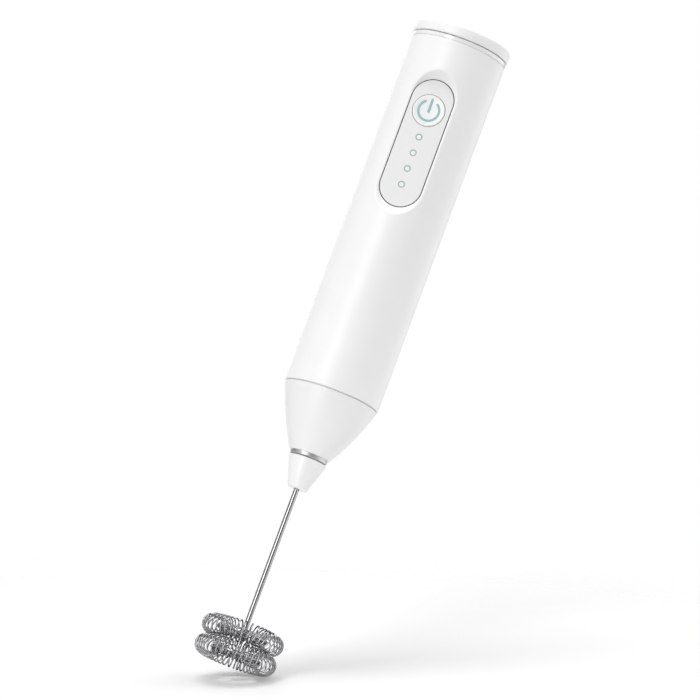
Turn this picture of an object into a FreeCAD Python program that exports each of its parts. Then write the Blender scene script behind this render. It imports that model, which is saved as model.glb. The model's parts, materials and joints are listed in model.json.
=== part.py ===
"""Handheld rechargeable milk frother, modelled as separate solids at real size.

Millimetres. +Z runs up the frother's axis from the whisk to the cap, the control
panel faces -Y, and the origin is on the axis at the whisk's lowest point.
"""
import FreeCAD
import Part
import Sketcher
import math
import os
import re
from FreeCAD import Placement, Rotation, Vector

doc = FreeCAD.newDocument("MilkFrother")
sheet = doc.addObject("Spreadsheet::Sheet", "Sizes")

# Driving sizes: alias, value, what it is.
SIZES = [
    ("body_radius", "16.5", "handle outer radius"),
    ("body_wall", "2.0", "handle wall"),
    ("body_base", "95.7", "height of the seam between nose cone and handle"),
    ("body_top", "220.3", "height of the handle tube's upper end"),
    ("edge_break", "0.25", "small chamfer on moulded edges"),
    ("fit_gap", "0.05", "clearance between parts that are fixed together"),
    ("run_gap", "0.04", "radial clearance of running fits"),
    ("cut_over", "1.0", "how far a cut runs past the surface it opens"),
    ("panel_half_width", "7.1", "control panel half width and end radius"),
    ("panel_length", "45.0", "control panel length"),
    ("panel_top", "206.1", "height of the control panel's upper end"),
    ("panel_face", "14.2", "distance of the panel face from the axis"),
    ("panel_thick", "1.4", "control panel thickness"),
    ("panel_gap", "0.35", "seam all round the control panel"),
    ("recess_ledge", "0.15", "flat ledge outside the panel seam"),
    ("recess_slope", "50.0", "slope of the recess walls"),
    ("rim_round", "1.0", "rounding of the recess rim"),
    ("panel_seat", "1.0", "thickness of the ledge behind the panel"),
    ("seat_half_width", "6.4", "half width of the window behind the panel"),
    ("bore_margin", "3.0", "how far the flat inside the handle runs past the panel's ends"),
    ("gasket_gap", "0.03", "clearance either side of the panel gasket"),
    ("gasket_drop", "0.35", "depth of the gasket's face below the panel's face"),
    ("button_radius", "5.35", "power button radius"),
    ("button_gap", "0.25", "gap round the power button"),
    ("button_drop", "10.7", "power button centre below the panel's upper end"),
    ("button_proud", "0.15", "power button height above the panel"),
    ("button_travel", "0.5", "power button travel"),
    ("flange_radius", "6.0", "retaining flange behind the power button"),
    ("flange_thick", "0.7", "thickness of that flange"),
    ("flange_gap", "0.2", "gap between the panel and the retaining flange"),
    ("stem_radius", "1.5", "button stem radius"),
    ("stem_proud", "0.25", "length of the button stem behind its flange"),
    ("plunger_gap", "0.05", "gap between the button stem and the switch plunger"),
    ("plunger_radius", "0.95", "switch plunger radius"),
    ("plunger_length", "1.7", "switch plunger length"),
    ("plunger_left", "0.2", "height the plunger still stands out when the button is pressed"),
    ("switch_half_width", "3.0", "half width of the switch body"),
    ("switch_floor", "0.3", "thickness of the switch body's floor"),
    ("symbol_radius", "3.5", "power symbol centreline radius"),
    ("symbol_stroke", "1.0", "power symbol stroke"),
    ("symbol_gap", "1.35", "half width of the gap in the power symbol's ring"),
    ("symbol_deep", "0.25", "depth of the inlaid power symbol"),
    ("symbol_tick", "4.1", "length of the power symbol's tick"),
    ("dot_first", "9.6", "first indicator below the button centre"),
    ("dot_pitch", "5.7", "indicator spacing"),
    ("dot_count", "4", "number of indicators"),
    ("dot_radius", "0.8", "light guide radius"),
    ("dot_ring", "1.2", "outer radius of the ring round an indicator"),
    ("dot_ring_deep", "0.3", "depth of that ring"),
    ("guide_gap", "1.1", "gap between the main board and the light guides"),
    ("guide_flange_over", "0.5", "how far a light guide's flange stands out"),
    ("guide_flange_thick", "0.6", "thickness of that flange"),
    ("led_half_width", "0.8", "indicator LED half width"),
    ("led_half_height", "0.4", "indicator LED half height"),
    ("led_thick", "0.8", "indicator LED thickness"),
    ("trim_height", "1.6", "trim ring height"),
    ("trim_radius", "16.5", "trim ring outer radius"),
    ("trim_bore", "14.0", "trim ring inner radius"),
    ("cap_radius", "16.8", "top cap outer radius"),
    ("cap_top", "226.0", "overall length, whisk to cap"),
    ("cap_gap", "0.2", "seam under the top cap"),
    ("cap_round", "1.0", "top cap edge radius"),
    ("soft_edge", "0.3", "softened edge of the trim ring, cap, button and hub"),
    ("arc_ease", "1.003", "makes a corner's arc a touch flatter than a quarter circle"),
    ("shadow_depth", "0.35", "depth of the fine groove under the trim ring"),
    ("shadow_gap", "0.15", "height of that groove"),
    ("cap_plug_radius", "13.4", "radius of the cap's plug"),
    ("cap_plug_wall", "1.2", "wall of the cap's plug"),
    ("cap_plug_deep", "2.5", "depth of the cap's plug"),
    ("cap_roof", "2.7", "thickness of the cap's top"),
    ("cap_lead", "0.4", "lead-in chamfer on the cap's plug"),
    ("cap_groove_deep", "0.4", "depth of the seal groove in the cap's plug"),
    ("cap_groove_low", "0.8", "height of that groove above the plug's end"),
    ("cap_groove_height", "1.0", "height of that groove"),
    ("cap_seal_ease", "0.1", "clearance round the cap seal"),
    ("end_plate_thick", "2.0", "end plate thickness"),
    ("end_plate_drop", "1.8", "depth of the end plate below the handle's upper end"),
    ("port_gap", "0.15", "clearance round the USB-C receptacle in the end plate"),
    ("end_screw_side", "10.6", "sideways distance of the end plate screws"),
    ("end_screw_back", "3.0", "distance of those screws behind the axis"),
    ("end_screw_radius", "0.784", "end plate screw radius"),
    ("end_screw_head", "0.7", "end plate screw head height"),
    ("end_screw_length", "6.0", "end plate screw length under the head"),
    ("end_post_radius", "2.1", "radius of the posts those screws go into"),
    ("end_post_length", "10.0", "length of those posts"),
    ("head_radius", "1.9", "screw head radius, in shank radii"),
    ("crown_radius", "1.6", "radius of a screw head's flat top, in shank radii"),
    ("head_side", "0.7", "height where a screw head starts to round over, in head heights"),
    ("drive_length", "1.2", "half length of the drive recess, in shank radii"),
    ("drive_width", "0.25", "half width of the drive recess, in shank radii"),
    ("drive_deep", "0.5", "height left under the drive recess, in head heights"),
    ("cone_base", "74.5", "height of the nose cone's lower end"),
    ("cone_small_radius", "6.95", "nose cone radius at the lower end"),
    ("cone_large_radius", "16.2", "nose cone radius at the handle seam"),
    ("cone_bulge_radius", "94.0", "radius of the nose cone's convex side"),
    ("seam_height", "0.3", "open height of the seam above the nose cone"),
    ("seam_depth", "0.8", "depth of that seam"),
    ("spigot_height", "3.8", "length of the nose cone's spigot in the handle"),
    ("spigot_wall", "1.5", "wall of that spigot"),
    ("spigot_bore_drop", "2.0", "depth of the spigot's bore below the handle seam"),
    ("cone_floor_over", "1.4", "height of the nose cone's inner floor above the shaft seal"),
    ("cone_floor_width", "4.4", "width of that floor round the seal"),
    ("nose_ring_height", "1.5", "visible height of the stainless nose ring"),
    ("nose_ring_radius", "6.4", "nose ring outer radius"),
    ("ring_break", "0.15", "chamfer on the nose ring's lower edge"),
    ("nose_ring_bore", "2.45", "nose ring inner radius"),
    ("nose_spigot_radius", "4.3", "radius of the nose ring's spigot"),
    ("nose_spigot_height", "1.5", "length of the nose ring's spigot"),
    ("bush_radius", "3.6", "nose bush outer radius"),
    ("bush_length", "5.0", "nose bush length"),
    ("journal_radius", "2.0", "spindle journal radius"),
    ("seal_length", "2.2", "shaft seal length"),
    ("seal_wall", "0.5", "wall of the shaft seal's sleeve"),
    ("seal_floor", "0.6", "thickness of the shaft seal's floor"),
    ("seal_lip_rise", "0.9", "height of the shaft seal's lip"),
    ("seal_lip_thick", "0.3", "thickness of that lip"),
    ("hub_gap", "0.15", "gap between whisk hub and nose ring"),
    ("hub_base", "62.5", "height of the whisk hub's lower end"),
    ("hub_small_radius", "3.3", "whisk hub radius at the lower end"),
    ("hub_large_radius", "6.75", "whisk hub radius at the upper end"),
    ("hub_edge", "0.5", "edge radius at the whisk hub's upper end"),
    ("hex_flats", "3.2", "width across the flats of the drive hexagon"),
    ("hex_clearance", "0.2", "total clearance of the hexagon socket"),
    ("hex_length", "5.0", "length of the drive hexagon in the hub"),
    ("hex_foot_gap", "0.3", "gap under the drive hexagon in its socket"),
    ("spindle_neck", "1.75", "radius of the spindle's neck through the nose ring"),
    ("spindle_foot", "1.1", "depth of that neck in the whisk hub"),
    ("spindle_step", "1.0", "distance of the journal's lower edge below the nose cone"),
    ("spindle_over", "1.0", "how far the spindle stands above the shaft seal"),
    ("shaft_drop", "6.0", "how far the motor shaft reaches down past the shaft seal"),
    ("shaft_over", "1.0", "how far the motor shaft stands out of the end bell"),
    ("socket_spare", "0.2", "depth left under the motor shaft in the spindle"),
    ("hub_pocket_radius", "2.8", "radius of the O-ring's pocket in the whisk hub"),
    ("hub_pocket_deep", "1.2", "depth of that pocket"),
    ("oring_inner", "1.85", "inner radius of the hub's O-ring"),
    ("oring_depth", "0.65", "depth of the O-ring's middle in the hub"),
    ("oring_wire", "0.45", "radius of the hub's O-ring section when squeezed"),
    ("rod_radius", "0.9", "whisk shaft radius"),
    ("rod_seat", "4.4", "length of the whisk shaft held in the hub"),
    ("coil_ring_radius", "10.75", "radius of each coil ring"),
    ("coil_tube_radius", "3.2", "radius of the coil's turns"),
    ("coil_wire_radius", "0.25", "coil wire radius"),
    ("coil_turns", "42", "turns in each coil ring"),
    ("coil_spacing", "0.1", "gap between the two coil rings"),
    ("core_wire_radius", "0.5", "ring frame wire radius"),
    ("core_gap", "0.05", "gap between the ring wire and the coil's turns"),
    ("spoke_radius", "0.25", "ring frame spoke radius"),
    ("spoke_count", "3", "spokes in each ring frame"),
    ("collar_radius", "1.8", "ring frame collar radius"),
    ("collar_height", "1.8", "ring frame collar height"),
    ("motor_radius", "12.2", "motor can radius"),
    ("motor_wall", "0.9", "motor can wall"),
    ("can_front", "1.2", "thickness of the motor can's front"),
    ("can_nose", "1.6", "height of the boss on the motor can's front"),
    ("can_nose_wall", "0.5", "wall of that boss"),
    ("motor_base", "101.6", "height of the motor's front face"),
    ("motor_can_length", "26.0", "motor can length"),
    ("can_edge", "0.8", "radius of the motor can's front edge"),
    ("mount_thick", "2.0", "motor mount plate thickness"),
    ("mount_bore_gap", "0.6", "clearance of the motor mount's bore round the bearing"),
    ("bell_thick", "2.0", "motor end bell flange thickness"),
    ("bell_plug", "1.3", "motor end bell plug depth"),
    ("bell_edge", "0.5", "chamfer on the motor end bell"),
    ("boss_wall", "1.2", "wall of the rear bearing's boss"),
    ("boss_height", "1.2", "height of that boss above the end bell"),
    ("damper_low", "4.0", "height of the motor damper above the motor's front"),
    ("damper_length", "15.0", "motor damper length"),
    ("bearing_radius", "3.0", "motor bush outer radius"),
    ("bearing_length", "3.0", "motor bush length"),
    ("shaft_radius", "1.0", "motor shaft radius"),
    ("screw_circle", "8.5", "motor screw distance from the axis"),
    ("motor_screw_radius", "1.25", "motor screw radius"),
    ("motor_screw_head", "1.4", "motor screw head height"),
    ("motor_screw_reach", "2.0", "how far the motor screws go into the motor"),
    ("terminal_thick", "0.5", "motor terminal thickness"),
    ("terminal_width", "2.2", "motor terminal width"),
    ("terminal_height", "3.0", "how far the motor terminals stand up"),
    ("terminal_side", "7.5", "sideways distance of the motor terminals"),
    ("magnet_thick", "2.4", "motor magnet thickness"),
    ("magnet_length", "16.0", "motor magnet length"),
    ("magnet_drop", "2.0", "how far the magnets reach below the rotor core"),
    ("magnet_gap_half", "2.5", "half width of the gap between the magnets"),
    ("rotor_radius", "8.3", "rotor core radius"),
    ("rotor_length", "12.0", "rotor core length"),
    ("rotor_base", "107.2", "height of the rotor core's lower end"),
    ("core_hub_wall", "1.6", "wall of the rotor core round the shaft"),
    ("neck_half_width", "1.3", "half width of a rotor pole's neck"),
    ("crown_thick", "1.8", "thickness of a rotor pole's head"),
    ("crown_share", "0.75", "half width of a rotor pole's head, in rotor radii"),
    ("winding_over", "1.4", "winding overhang past the core"),
    ("winding_half_width", "2.5", "winding half width"),
    ("winding_start", "1.75", "distance of a winding's inner side from the shaft"),
    ("winding_end", "2.4", "distance of a winding's outer side from the rotor's rim"),
    ("winding_ease", "0.02", "clearance of the windings round the core"),
    ("commutator_radius", "2.6", "commutator radius"),
    ("commutator_length", "3.6", "commutator length"),
    ("commutator_gap", "0.6", "gap between the windings and the commutator"),
    ("brush_reach", "1.3", "distance of a brush's back from the commutator"),
    ("brush_half_width", "1.1", "brush half width"),
    ("brush_low", "0.6", "height of a brush above the commutator's lower end"),
    ("brush_high", "2.8", "height of a brush's top above the commutator's lower end"),
    ("brush_arm_thick", "0.4", "brush arm thickness"),
    ("brush_arm_half", "0.8", "brush arm half width"),
    ("cell_radius", "7.1", "battery cell radius"),
    ("cell_length", "49.0", "battery cell length"),
    ("cell_base", "145.6", "height of the cell's lower end"),
    ("cell_back", "4.0", "distance of the cell's axis behind the handle axis"),
    ("cell_edge", "0.6", "chamfer at the cell's ends"),
    ("cell_gap", "0.15", "clearance round the cell in the chassis"),
    ("cell_cap_radius", "2.7", "radius of the cell's raised terminal"),
    ("cell_cap_height", "1.1", "height of the cell's raised terminal"),
    ("chassis_radius", "14.3", "chassis outer radius"),
    ("chassis_wall", "1.5", "chassis wall"),
    ("chassis_base", "134.0", "height of the chassis' lower end"),
    ("chassis_front", "2.0", "how far the chassis shell comes forward of the axis"),
    ("web_thick", "2.0", "thickness of the chassis webs"),
    ("web_front", "5.6", "how far the chassis webs come forward of the axis"),
    ("saddle_low", "155.0", "height of the lower cell saddle"),
    ("saddle_high", "183.0", "height of the upper cell saddle"),
    ("bay_over", "2.0", "how far the cell's bay is cut below the lower saddle"),
    ("rail_overlap", "0.8", "how far the rails grip over the charging board"),
    ("rail_end", "12.6", "sideways distance of the rails' outer ends"),
    ("rail_front", "1.0", "how far the rails come forward of the charging board"),
    ("rail_back", "2.0", "distance of the rails' back from the charging board's front"),
    ("lead_notch_half", "5.5", "half width of the leads' notch in the lower web"),
    ("lead_notch_back", "3.2", "distance of that notch's end in front of the axis"),
    ("link_notch_half", "6.0", "half width of the link's notch in the upper web"),
    ("link_notch_back", "2.4", "distance of that notch's end in front of the axis"),
    ("board_face", "8.9", "distance of the main board's front from the axis"),
    ("board_thick", "1.0", "circuit board thickness"),
    ("board_half_width", "9.5", "main board half width"),
    ("board_base", "151.0", "height of the main board's lower end"),
    ("board_top", "210.0", "height of the main board's upper end"),
    ("post_x", "7.6", "sideways distance of the board screws"),
    ("post_radius", "1.9", "board post radius"),
    ("board_screw_radius", "0.8", "board screw radius"),
    ("board_screw_head", "0.8", "board screw head height"),
    ("board_screw_length", "5.0", "board screw length under the head"),
    ("pilot_spare", "0.5", "depth left under a board screw"),
    ("charge_half_width", "7.0", "charging board half width"),
    ("charge_height", "13.0", "charging board height"),
    ("usb_width", "8.94", "USB-C receptacle width"),
    ("usb_thick", "3.26", "USB-C receptacle thickness"),
    ("usb_length", "7.35", "USB-C receptacle length"),
    ("usb_sheet", "0.3", "USB-C receptacle sheet thickness"),
    ("usb_board_gap", "0.01", "gap between the receptacle and the charging board"),
    ("tongue_half_width", "3.2", "half width of the receptacle's tongue"),
    ("tongue_half_thick", "0.35", "half thickness of that tongue"),
    ("tongue_recess", "0.9", "depth of the tongue's tip below the receptacle's mouth"),
    ("tongue_root_half", "1.2", "half thickness of the tongue's root"),
    ("tongue_root_top", "1.4", "height of the tongue's root above the receptacle's end"),
    ("pin_half_width", "0.25", "half width of a link pin"),
    ("pin_pitch", "2.0", "link pin spacing"),
    ("pin_height", "4.0", "height of the link pins above the charging board's lower end"),
    ("spacer_front_gap", "1.4", "distance of the link spacer from the main board"),
    ("spacer_back_gap", "1.2", "distance of the link spacer from the charging board"),
    ("spacer_half_height", "1.0", "link spacer half height"),
    ("lead_radius", "0.5", "insulated lead radius"),
    ("lead_bend", "2.5", "bend radius of the motor leads"),
    ("lead_rise", "6.5", "height of the motor leads' first bend above the end bell"),
    ("lead_side", "3.5", "sideways distance of the motor leads on the board"),
    ("lead_knee", "2.0", "distance of the motor leads' second bend below the lower web"),
    ("lead_on_board", "5.0", "length of the motor leads along the board"),
    ("battery_lead_bend", "1.0", "bend radius of the battery leads"),
    ("battery_lead_side", "1.2", "sideways distance of the battery leads"),
    ("battery_lead_step", "1.2", "how far the lower battery lead comes forward of its tab"),
    ("upper_lead_step", "2.0", "how far the upper battery lead comes forward of its tab"),
    ("battery_lead_on_board", "4.0", "length of the battery leads along the board"),
    ("upper_lead_drop", "6.0", "distance of the upper battery lead's knee below the cell's top"),
    ("tab_thick", "0.4", "nickel tab thickness"),
    ("tab_half_width", "2.5", "nickel tab half width"),
    ("tab_gap", "0.6", "gap between the lower tab and the chassis"),
    ("tab_reach", "3.0", "how far the tabs reach behind the cell's axis"),
    ("lower_tab_front", "5.0", "how far the lower tab comes forward of the handle's axis"),
    ("upper_tab_front", "3.0", "how far the upper tab comes forward of the handle's axis"),
]

# Sizes that follow from the ones above.
DERIVED = [
    ("body_bore", "body_radius - body_wall"),
    ("panel_mid", "panel_top - panel_length / 2"),
    ("panel_run", "panel_length / 2 - panel_half_width"),
    ("panel_back", "panel_face - panel_thick"),
    ("pocket_half_width", "panel_half_width + panel_gap"),
    ("seat_back", "panel_back - panel_seat"),
    ("button_height", "panel_top - button_drop"),
    ("dot_height", "button_height - dot_first"),
    ("button_face", "panel_face + button_proud"),
    ("flange_front", "panel_back - flange_gap"),
    ("flange_back", "flange_front - flange_thick"),
    ("stem_end", "flange_back - stem_proud"),
    ("plunger_tip", "stem_end - plunger_gap"),
    ("switch_top", "plunger_tip - button_travel - plunger_left"),
    ("trim_top", "body_top + trim_height"),
    ("cap_base", "trim_top + cap_gap"),
    ("cap_skirt", "cap_base - cap_plug_deep"),
    ("groove_base", "cap_skirt + cap_groove_low"),
    ("end_plate_top", "body_top - end_plate_drop"),
    ("end_plate_base", "end_plate_top - end_plate_thick"),
    ("cone_top", "body_base - seam_height"),
    ("spigot_top", "body_base + spigot_height"),
    ("spigot_radius", "body_bore - fit_gap"),
    ("nose_ring_base", "cone_base - nose_ring_height"),
    ("nose_spigot_top", "cone_base + nose_spigot_height"),
    ("bush_top", "nose_spigot_top + bush_length"),
    ("seal_top", "bush_top + seal_length"),
    ("hub_top", "nose_ring_base - hub_gap"),
    ("hex_base", "hub_top - hex_length"),
    ("rod_top", "hub_base + rod_seat"),
    ("coil_inner", "coil_ring_radius - coil_tube_radius"),
    ("coil_outer", "coil_ring_radius + coil_tube_radius"),
    ("coil_chord", "coil_inner^2 + coil_outer^2 - 2 * coil_inner * coil_outer * cos(180 deg / coil_turns)"),
    ("half_turn_radius", "sqrt(coil_chord) / 2"),
    ("coil_low", "half_turn_radius + coil_wire_radius"),
    ("coil_high", "coil_low * 3 + coil_spacing"),
    ("core_ring_radius", "coil_inner + coil_wire_radius + core_wire_radius + core_gap"),
    ("motor_top", "motor_base + motor_can_length"),
    ("bell_top", "motor_top + bell_thick"),
    ("mount_base", "motor_base - mount_thick"),
    ("motor_bore", "motor_radius - motor_wall"),
    ("rotor_top", "rotor_base + rotor_length"),
    ("commutator_base", "rotor_top + winding_over + commutator_gap"),
    ("cell_top", "cell_base + cell_length"),
    ("lower_web", "cell_base - tab_gap - tab_thick - web_thick"),
    ("cell_cap_top", "cell_top + cell_cap_height"),
    ("upper_web", "cell_cap_top + tab_thick + 2 * fit_gap"),
    ("board_back", "board_face - board_thick"),
    ("charge_face", "usb_thick / 2"),
    ("charge_base", "upper_web + web_thick"),
    ("usb_base", "end_plate_top - usb_length"),
    ("link_height", "charge_base + pin_height"),
    ("bell_foot", "motor_top - bell_plug"),
]

aliases = set()


def store(row, name, text, note):
    """Write one size into the sheet."""
    sheet.set("A%d" % row, name)
    sheet.set("B%d" % row, text)
    sheet.set("C%d" % row, note)
    sheet.setAlias("B%d" % row, name)
    aliases.add(name)


for number, (name, value, note) in enumerate(SIZES, start=1):
    store(number, name, value, note)
for number, (name, formula) in enumerate(DERIVED, start=len(SIZES) + 1):
    store(number, name, "=" + formula, "derived")
doc.recompute()

WORD = re.compile(r"[a-z][a-z_]*")


def bound(text):
    """Turn a formula in size names into one the model can bind to."""
    return WORD.sub(lambda found: ("Sizes." if found.group(0) in aliases else "") + found.group(0), text)


def value(text):
    """The present value of a formula in size names."""
    return float(sheet.evalExpression(bound(text)))


nodes = []


def keep(item, label):
    """Name a finished sub-part and mark it for export."""
    item.Label = label
    nodes.append(item)
    return item


# ---------------------------------------------------------------- sketch helpers

def new_body(name):
    """A PartDesign body."""
    return doc.addObject("PartDesign::Body", name)


def origin_plane(body, role):
    """One of the body's own origin planes."""
    return [item for item in body.Origin.OriginFeatures if item.Role == role][0]


def sketch_on(body, name, role, offset="0"):
    """A sketch on an origin plane, moved along the plane's normal."""
    sketch = body.newObject("Sketcher::SketchObject", name)
    sketch.AttachmentSupport = [(origin_plane(body, role), "")]
    sketch.MapMode = "FlatFace"
    sketch.setExpression("AttachmentOffset.Base.z", bound(offset))
    doc.recompute()
    return sketch


def pin_point(sketch, geometry, end, along, up):
    """Fix one point of a sketch at formulas measured from the origin."""
    for kind, formula in (("DistanceX", along), ("DistanceY", up)):
        size = value(formula)
        if abs(size) < 1e-9:
            axis = -2 if kind == "DistanceX" else -1
            sketch.addConstraint(Sketcher.Constraint("PointOnObject", geometry, end, axis))
            continue
        if size > 0:
            row = sketch.addConstraint(Sketcher.Constraint(kind, -1, 1, geometry, end, size))
            sketch.setExpression("Constraints[%d]" % row, bound(formula))
        else:
            row = sketch.addConstraint(Sketcher.Constraint(kind, geometry, end, -1, 1, -size))
            sketch.setExpression("Constraints[%d]" % row, bound("-(" + formula + ")"))


def arc_between(start, end, radius):
    """The minor arc from start to end that bulges to the right of the chord."""
    chord = end - start
    half = chord.Length / 2
    normal = Vector(chord.y, -chord.x, 0).normalize()
    rise = radius - math.sqrt(radius * radius - half * half)
    return Part.Arc(start, start + chord / 2 + normal * rise, end)


def outline(sketch, points):
    """Draw a closed outline. A point is (along, up) or (along, up, arc radius).

    The arc, where given, joins the point before to this one. Its radius is
    positive where it bulges to the right of the chord, negative to the left.
    """
    places = [Vector(value(point[0]), value(point[1]), 0) for point in points]
    count = len(points)
    arcs = {}
    for index in range(count):
        start = places[index]
        end = places[(index + 1) % count]
        target = points[(index + 1) % count]
        if len(target) < 3:
            sketch.addGeometry(Part.LineSegment(start, end), False)
            arcs[index] = (1, 2)
            continue
        radius = value(target[2])
        if radius > 0:
            curve = arc_between(start, end, radius)
        else:
            curve = arc_between(end, start, -radius)
        sketch.addGeometry(curve, False)
        begin = sketch.getPoint(index, 1)
        arcs[index] = (1, 2) if (begin - start).Length < 1e-6 else (2, 1)
    for index in range(count):
        after = (index + 1) % count
        sketch.addConstraint(
            Sketcher.Constraint("Coincident", index, arcs[index][1], after, arcs[after][0]))
    for index in range(count):
        pin_point(sketch, index, arcs[index][0], points[index][0], points[index][1])
        target = points[(index + 1) % count]
        if len(target) == 3:
            radius = abs(value(target[2]))
            row = sketch.addConstraint(Sketcher.Constraint("Radius", index, radius))
            sign = "" if value(target[2]) > 0 else "-"
            sketch.setExpression("Constraints[%d]" % row, bound(sign + "(" + target[2] + ")"))


def turned_body(name, points):
    """A body with one outline turned about the Z axis."""
    body = new_body(name)
    sketch = sketch_on(body, name + "_profile", "XZ_Plane")
    outline(sketch, points)
    turn = body.newObject("PartDesign::Revolution", name + "_turn")
    turn.Profile = sketch
    turn.ReferenceAxis = (sketch, ["V_Axis"])
    turn.Angle = 360
    doc.recompute()
    return body


def turned(label, points):
    """A turned sub-part."""
    return keep(turned_body(label, points), label)


def tube(label, inner, outer, low, high):
    """A plain turned sleeve."""
    return turned(label, [(inner, low), (outer, low), (outer, high), (inner, high)])


def slot(sketch, half_width, run, middle="0"):
    """A round-ended slot along the sketch's upright, centred on a height."""
    wide = value(half_width)
    low = "%s - (%s)" % (middle, run)
    high = "%s + (%s)" % (middle, run)
    bottom = value(low)
    top = value(high)
    up = Vector(0, 0, 1)
    first = sketch.GeometryCount
    sketch.addGeometry(Part.LineSegment(Vector(wide, bottom, 0), Vector(wide, top, 0)), False)
    sketch.addGeometry(Part.ArcOfCircle(Part.Circle(Vector(0, top, 0), up, wide), 0, math.pi), False)
    sketch.addGeometry(Part.LineSegment(Vector(-wide, top, 0), Vector(-wide, bottom, 0)), False)
    sketch.addGeometry(
        Part.ArcOfCircle(Part.Circle(Vector(0, bottom, 0), up, wide), math.pi, 2 * math.pi), False)
    for index in range(4):
        sketch.addConstraint(
            Sketcher.Constraint("Tangent", first + index, 2, first + (index + 1) % 4, 1))
    size = sketch.addConstraint(Sketcher.Constraint("Radius", first + 1, wide))
    sketch.setExpression("Constraints[%d]" % size, bound(half_width))
    sketch.addConstraint(Sketcher.Constraint("Equal", first + 1, first + 3))
    pin_point(sketch, first + 1, 3, "0", high)
    pin_point(sketch, first + 3, 3, "0", low)


def circle(sketch, radius, across="0", up="0"):
    """A circle in a sketch."""
    centre = Vector(value(across), value(up), 0)
    row = sketch.addGeometry(Part.Circle(centre, Vector(0, 0, 1), value(radius)), False)
    size = sketch.addConstraint(Sketcher.Constraint("Radius", row, value(radius)))
    sketch.setExpression("Constraints[%d]" % size, bound(radius))
    pin_point(sketch, row, 3, across, up)


def padded(body, name, sketch, length, outward=True):
    """A pad from a sketch, along the sketch's normal or against it."""
    pad = body.newObject("PartDesign::Pad", name)
    pad.Profile = sketch
    pad.setExpression("Length", bound(length))
    pad.Reversed = not outward
    doc.recompute()
    return pad


def pocketed(body, name, sketch, length, outward=False):
    """A pocket from a sketch, against the sketch's normal unless outward."""
    pocket = body.newObject("PartDesign::Pocket", name)
    pocket.Profile = sketch
    pocket.setExpression("Length", bound(length))
    pocket.Reversed = outward
    doc.recompute()
    return pocket


def repeated(body, name, features, count, run):
    """Repeat features downwards along Z."""
    row = body.newObject("PartDesign::LinearPattern", name)
    row.Originals = features
    axis = [item for item in body.Origin.OriginFeatures if item.Role == "Z_Axis"][0]
    row.Direction = (axis, [""])
    row.Reversed = True
    row.setExpression("Length", bound(run))
    row.setExpression("Occurrences", bound(count))
    body.Tip = row
    doc.recompute()
    return row


# ---------------------------------------------------------------- solid helpers

INWARD = Rotation(Vector(1, 0, 0), -90)
OUTWARD = Rotation(Vector(1, 0, 0), 90)
UPRIGHT = Rotation()


def place(item, at, turn=UPRIGHT):
    """Put a solid somewhere, its position tied to formulas."""
    item.Placement = Placement(Vector(0, 0, 0), turn)
    for axis, formula in zip("xyz", at):
        item.setExpression("Placement.Base." + axis, bound(formula))
    return item


def shape(kind, name, sizes, at, turn=UPRIGHT):
    """A Part primitive."""
    item = doc.addObject("Part::" + kind, name)
    for prop, formula in sizes.items():
        item.setExpression(prop, bound(formula))
    return place(item, at, turn)


def rod(name, radius, length, at, turn=UPRIGHT):
    """A cylinder whose own Z starts at a point."""
    return shape("Cylinder", name, {"Radius": radius, "Height": length}, at, turn)


def block(name, across, deep, up):
    """A box between two formulas each way."""
    sizes = {}
    at = []
    for prop, (low, high) in zip(("Length", "Width", "Height"), (across, deep, up)):
        sizes[prop] = "(%s) - (%s)" % (high, low)
        at.append(low)
    return shape("Box", name, sizes, at)


def centred(half):
    """A span either side of the middle."""
    return ("-(%s)" % half, half)


def joined(name, items):
    """The union of some solids."""
    union = doc.addObject("Part::MultiFuse", name)
    union.Shapes = items
    return union


def without(name, base, tool):
    """One solid less another."""
    result = doc.addObject("Part::Cut", name)
    result.Base = base
    result.Tool = tool
    return result


def within(name, base, tool):
    """What two solids share."""
    result = doc.addObject("Part::Common", name)
    result.Base = base
    result.Tool = tool
    return result


def gathered(label, items):
    """Several identical solids kept together as one sub-part."""
    group = doc.addObject("Part::Compound", label)
    group.Links = items
    return keep(group, label)


# ---------------------------------------------------------------- handle shell

# Housing: a thick tube, D-shaped inside where it carries the panel.
housing = turned_body("main_housing", [
    ("0", "body_base"),
    ("body_radius - edge_break", "body_base"),
    ("body_radius", "body_base + edge_break"),
    ("body_radius", "body_top - edge_break"),
    ("body_radius - edge_break", "body_top"),
    ("0", "body_top"),
])
bore_end = "panel_top - panel_length - bore_margin"
bore_start = "panel_top + bore_margin"
bore = sketch_on(housing, "lower_bore", "XY_Plane", bore_end)
circle(bore, "body_bore")
pocketed(housing, "lower_bore_cut", bore, "%s - body_base" % bore_end)
bore = sketch_on(housing, "upper_bore", "XY_Plane", bore_start)
circle(bore, "body_bore")
pocketed(housing, "upper_bore_cut", bore, "body_top - (%s)" % bore_start, outward=True)
flat_side = "sqrt(body_bore^2 - seat_back^2)"
middle_bore = sketch_on(housing, "panel_bore", "XY_Plane", bore_start)
flat_left = Vector(-value(flat_side), -value("seat_back"), 0)
flat_right = Vector(value(flat_side), -value("seat_back"), 0)
middle_bore.addGeometry(Part.LineSegment(flat_left, flat_right), False)
middle_bore.addGeometry(
    Part.Arc(flat_right, Vector(0, value("body_bore"), 0), flat_left), False)
middle_bore.addConstraint(Sketcher.Constraint("Coincident", 0, 2, 1, 1))
middle_bore.addConstraint(Sketcher.Constraint("Coincident", 0, 1, 1, 2))
middle_bore.addConstraint(Sketcher.Constraint("Coincident", 1, 3, -1, 1))
middle_bore.addConstraint(Sketcher.Constraint("Horizontal", 0))
bend = middle_bore.addConstraint(Sketcher.Constraint("Radius", 1, value("body_bore")))
middle_bore.setExpression("Constraints[%d]" % bend, bound("body_bore"))
depth = middle_bore.addConstraint(
    Sketcher.Constraint("DistanceY", 0, 1, -1, 1, value("seat_back")))
middle_bore.setExpression("Constraints[%d]" % depth, bound("seat_back"))
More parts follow.
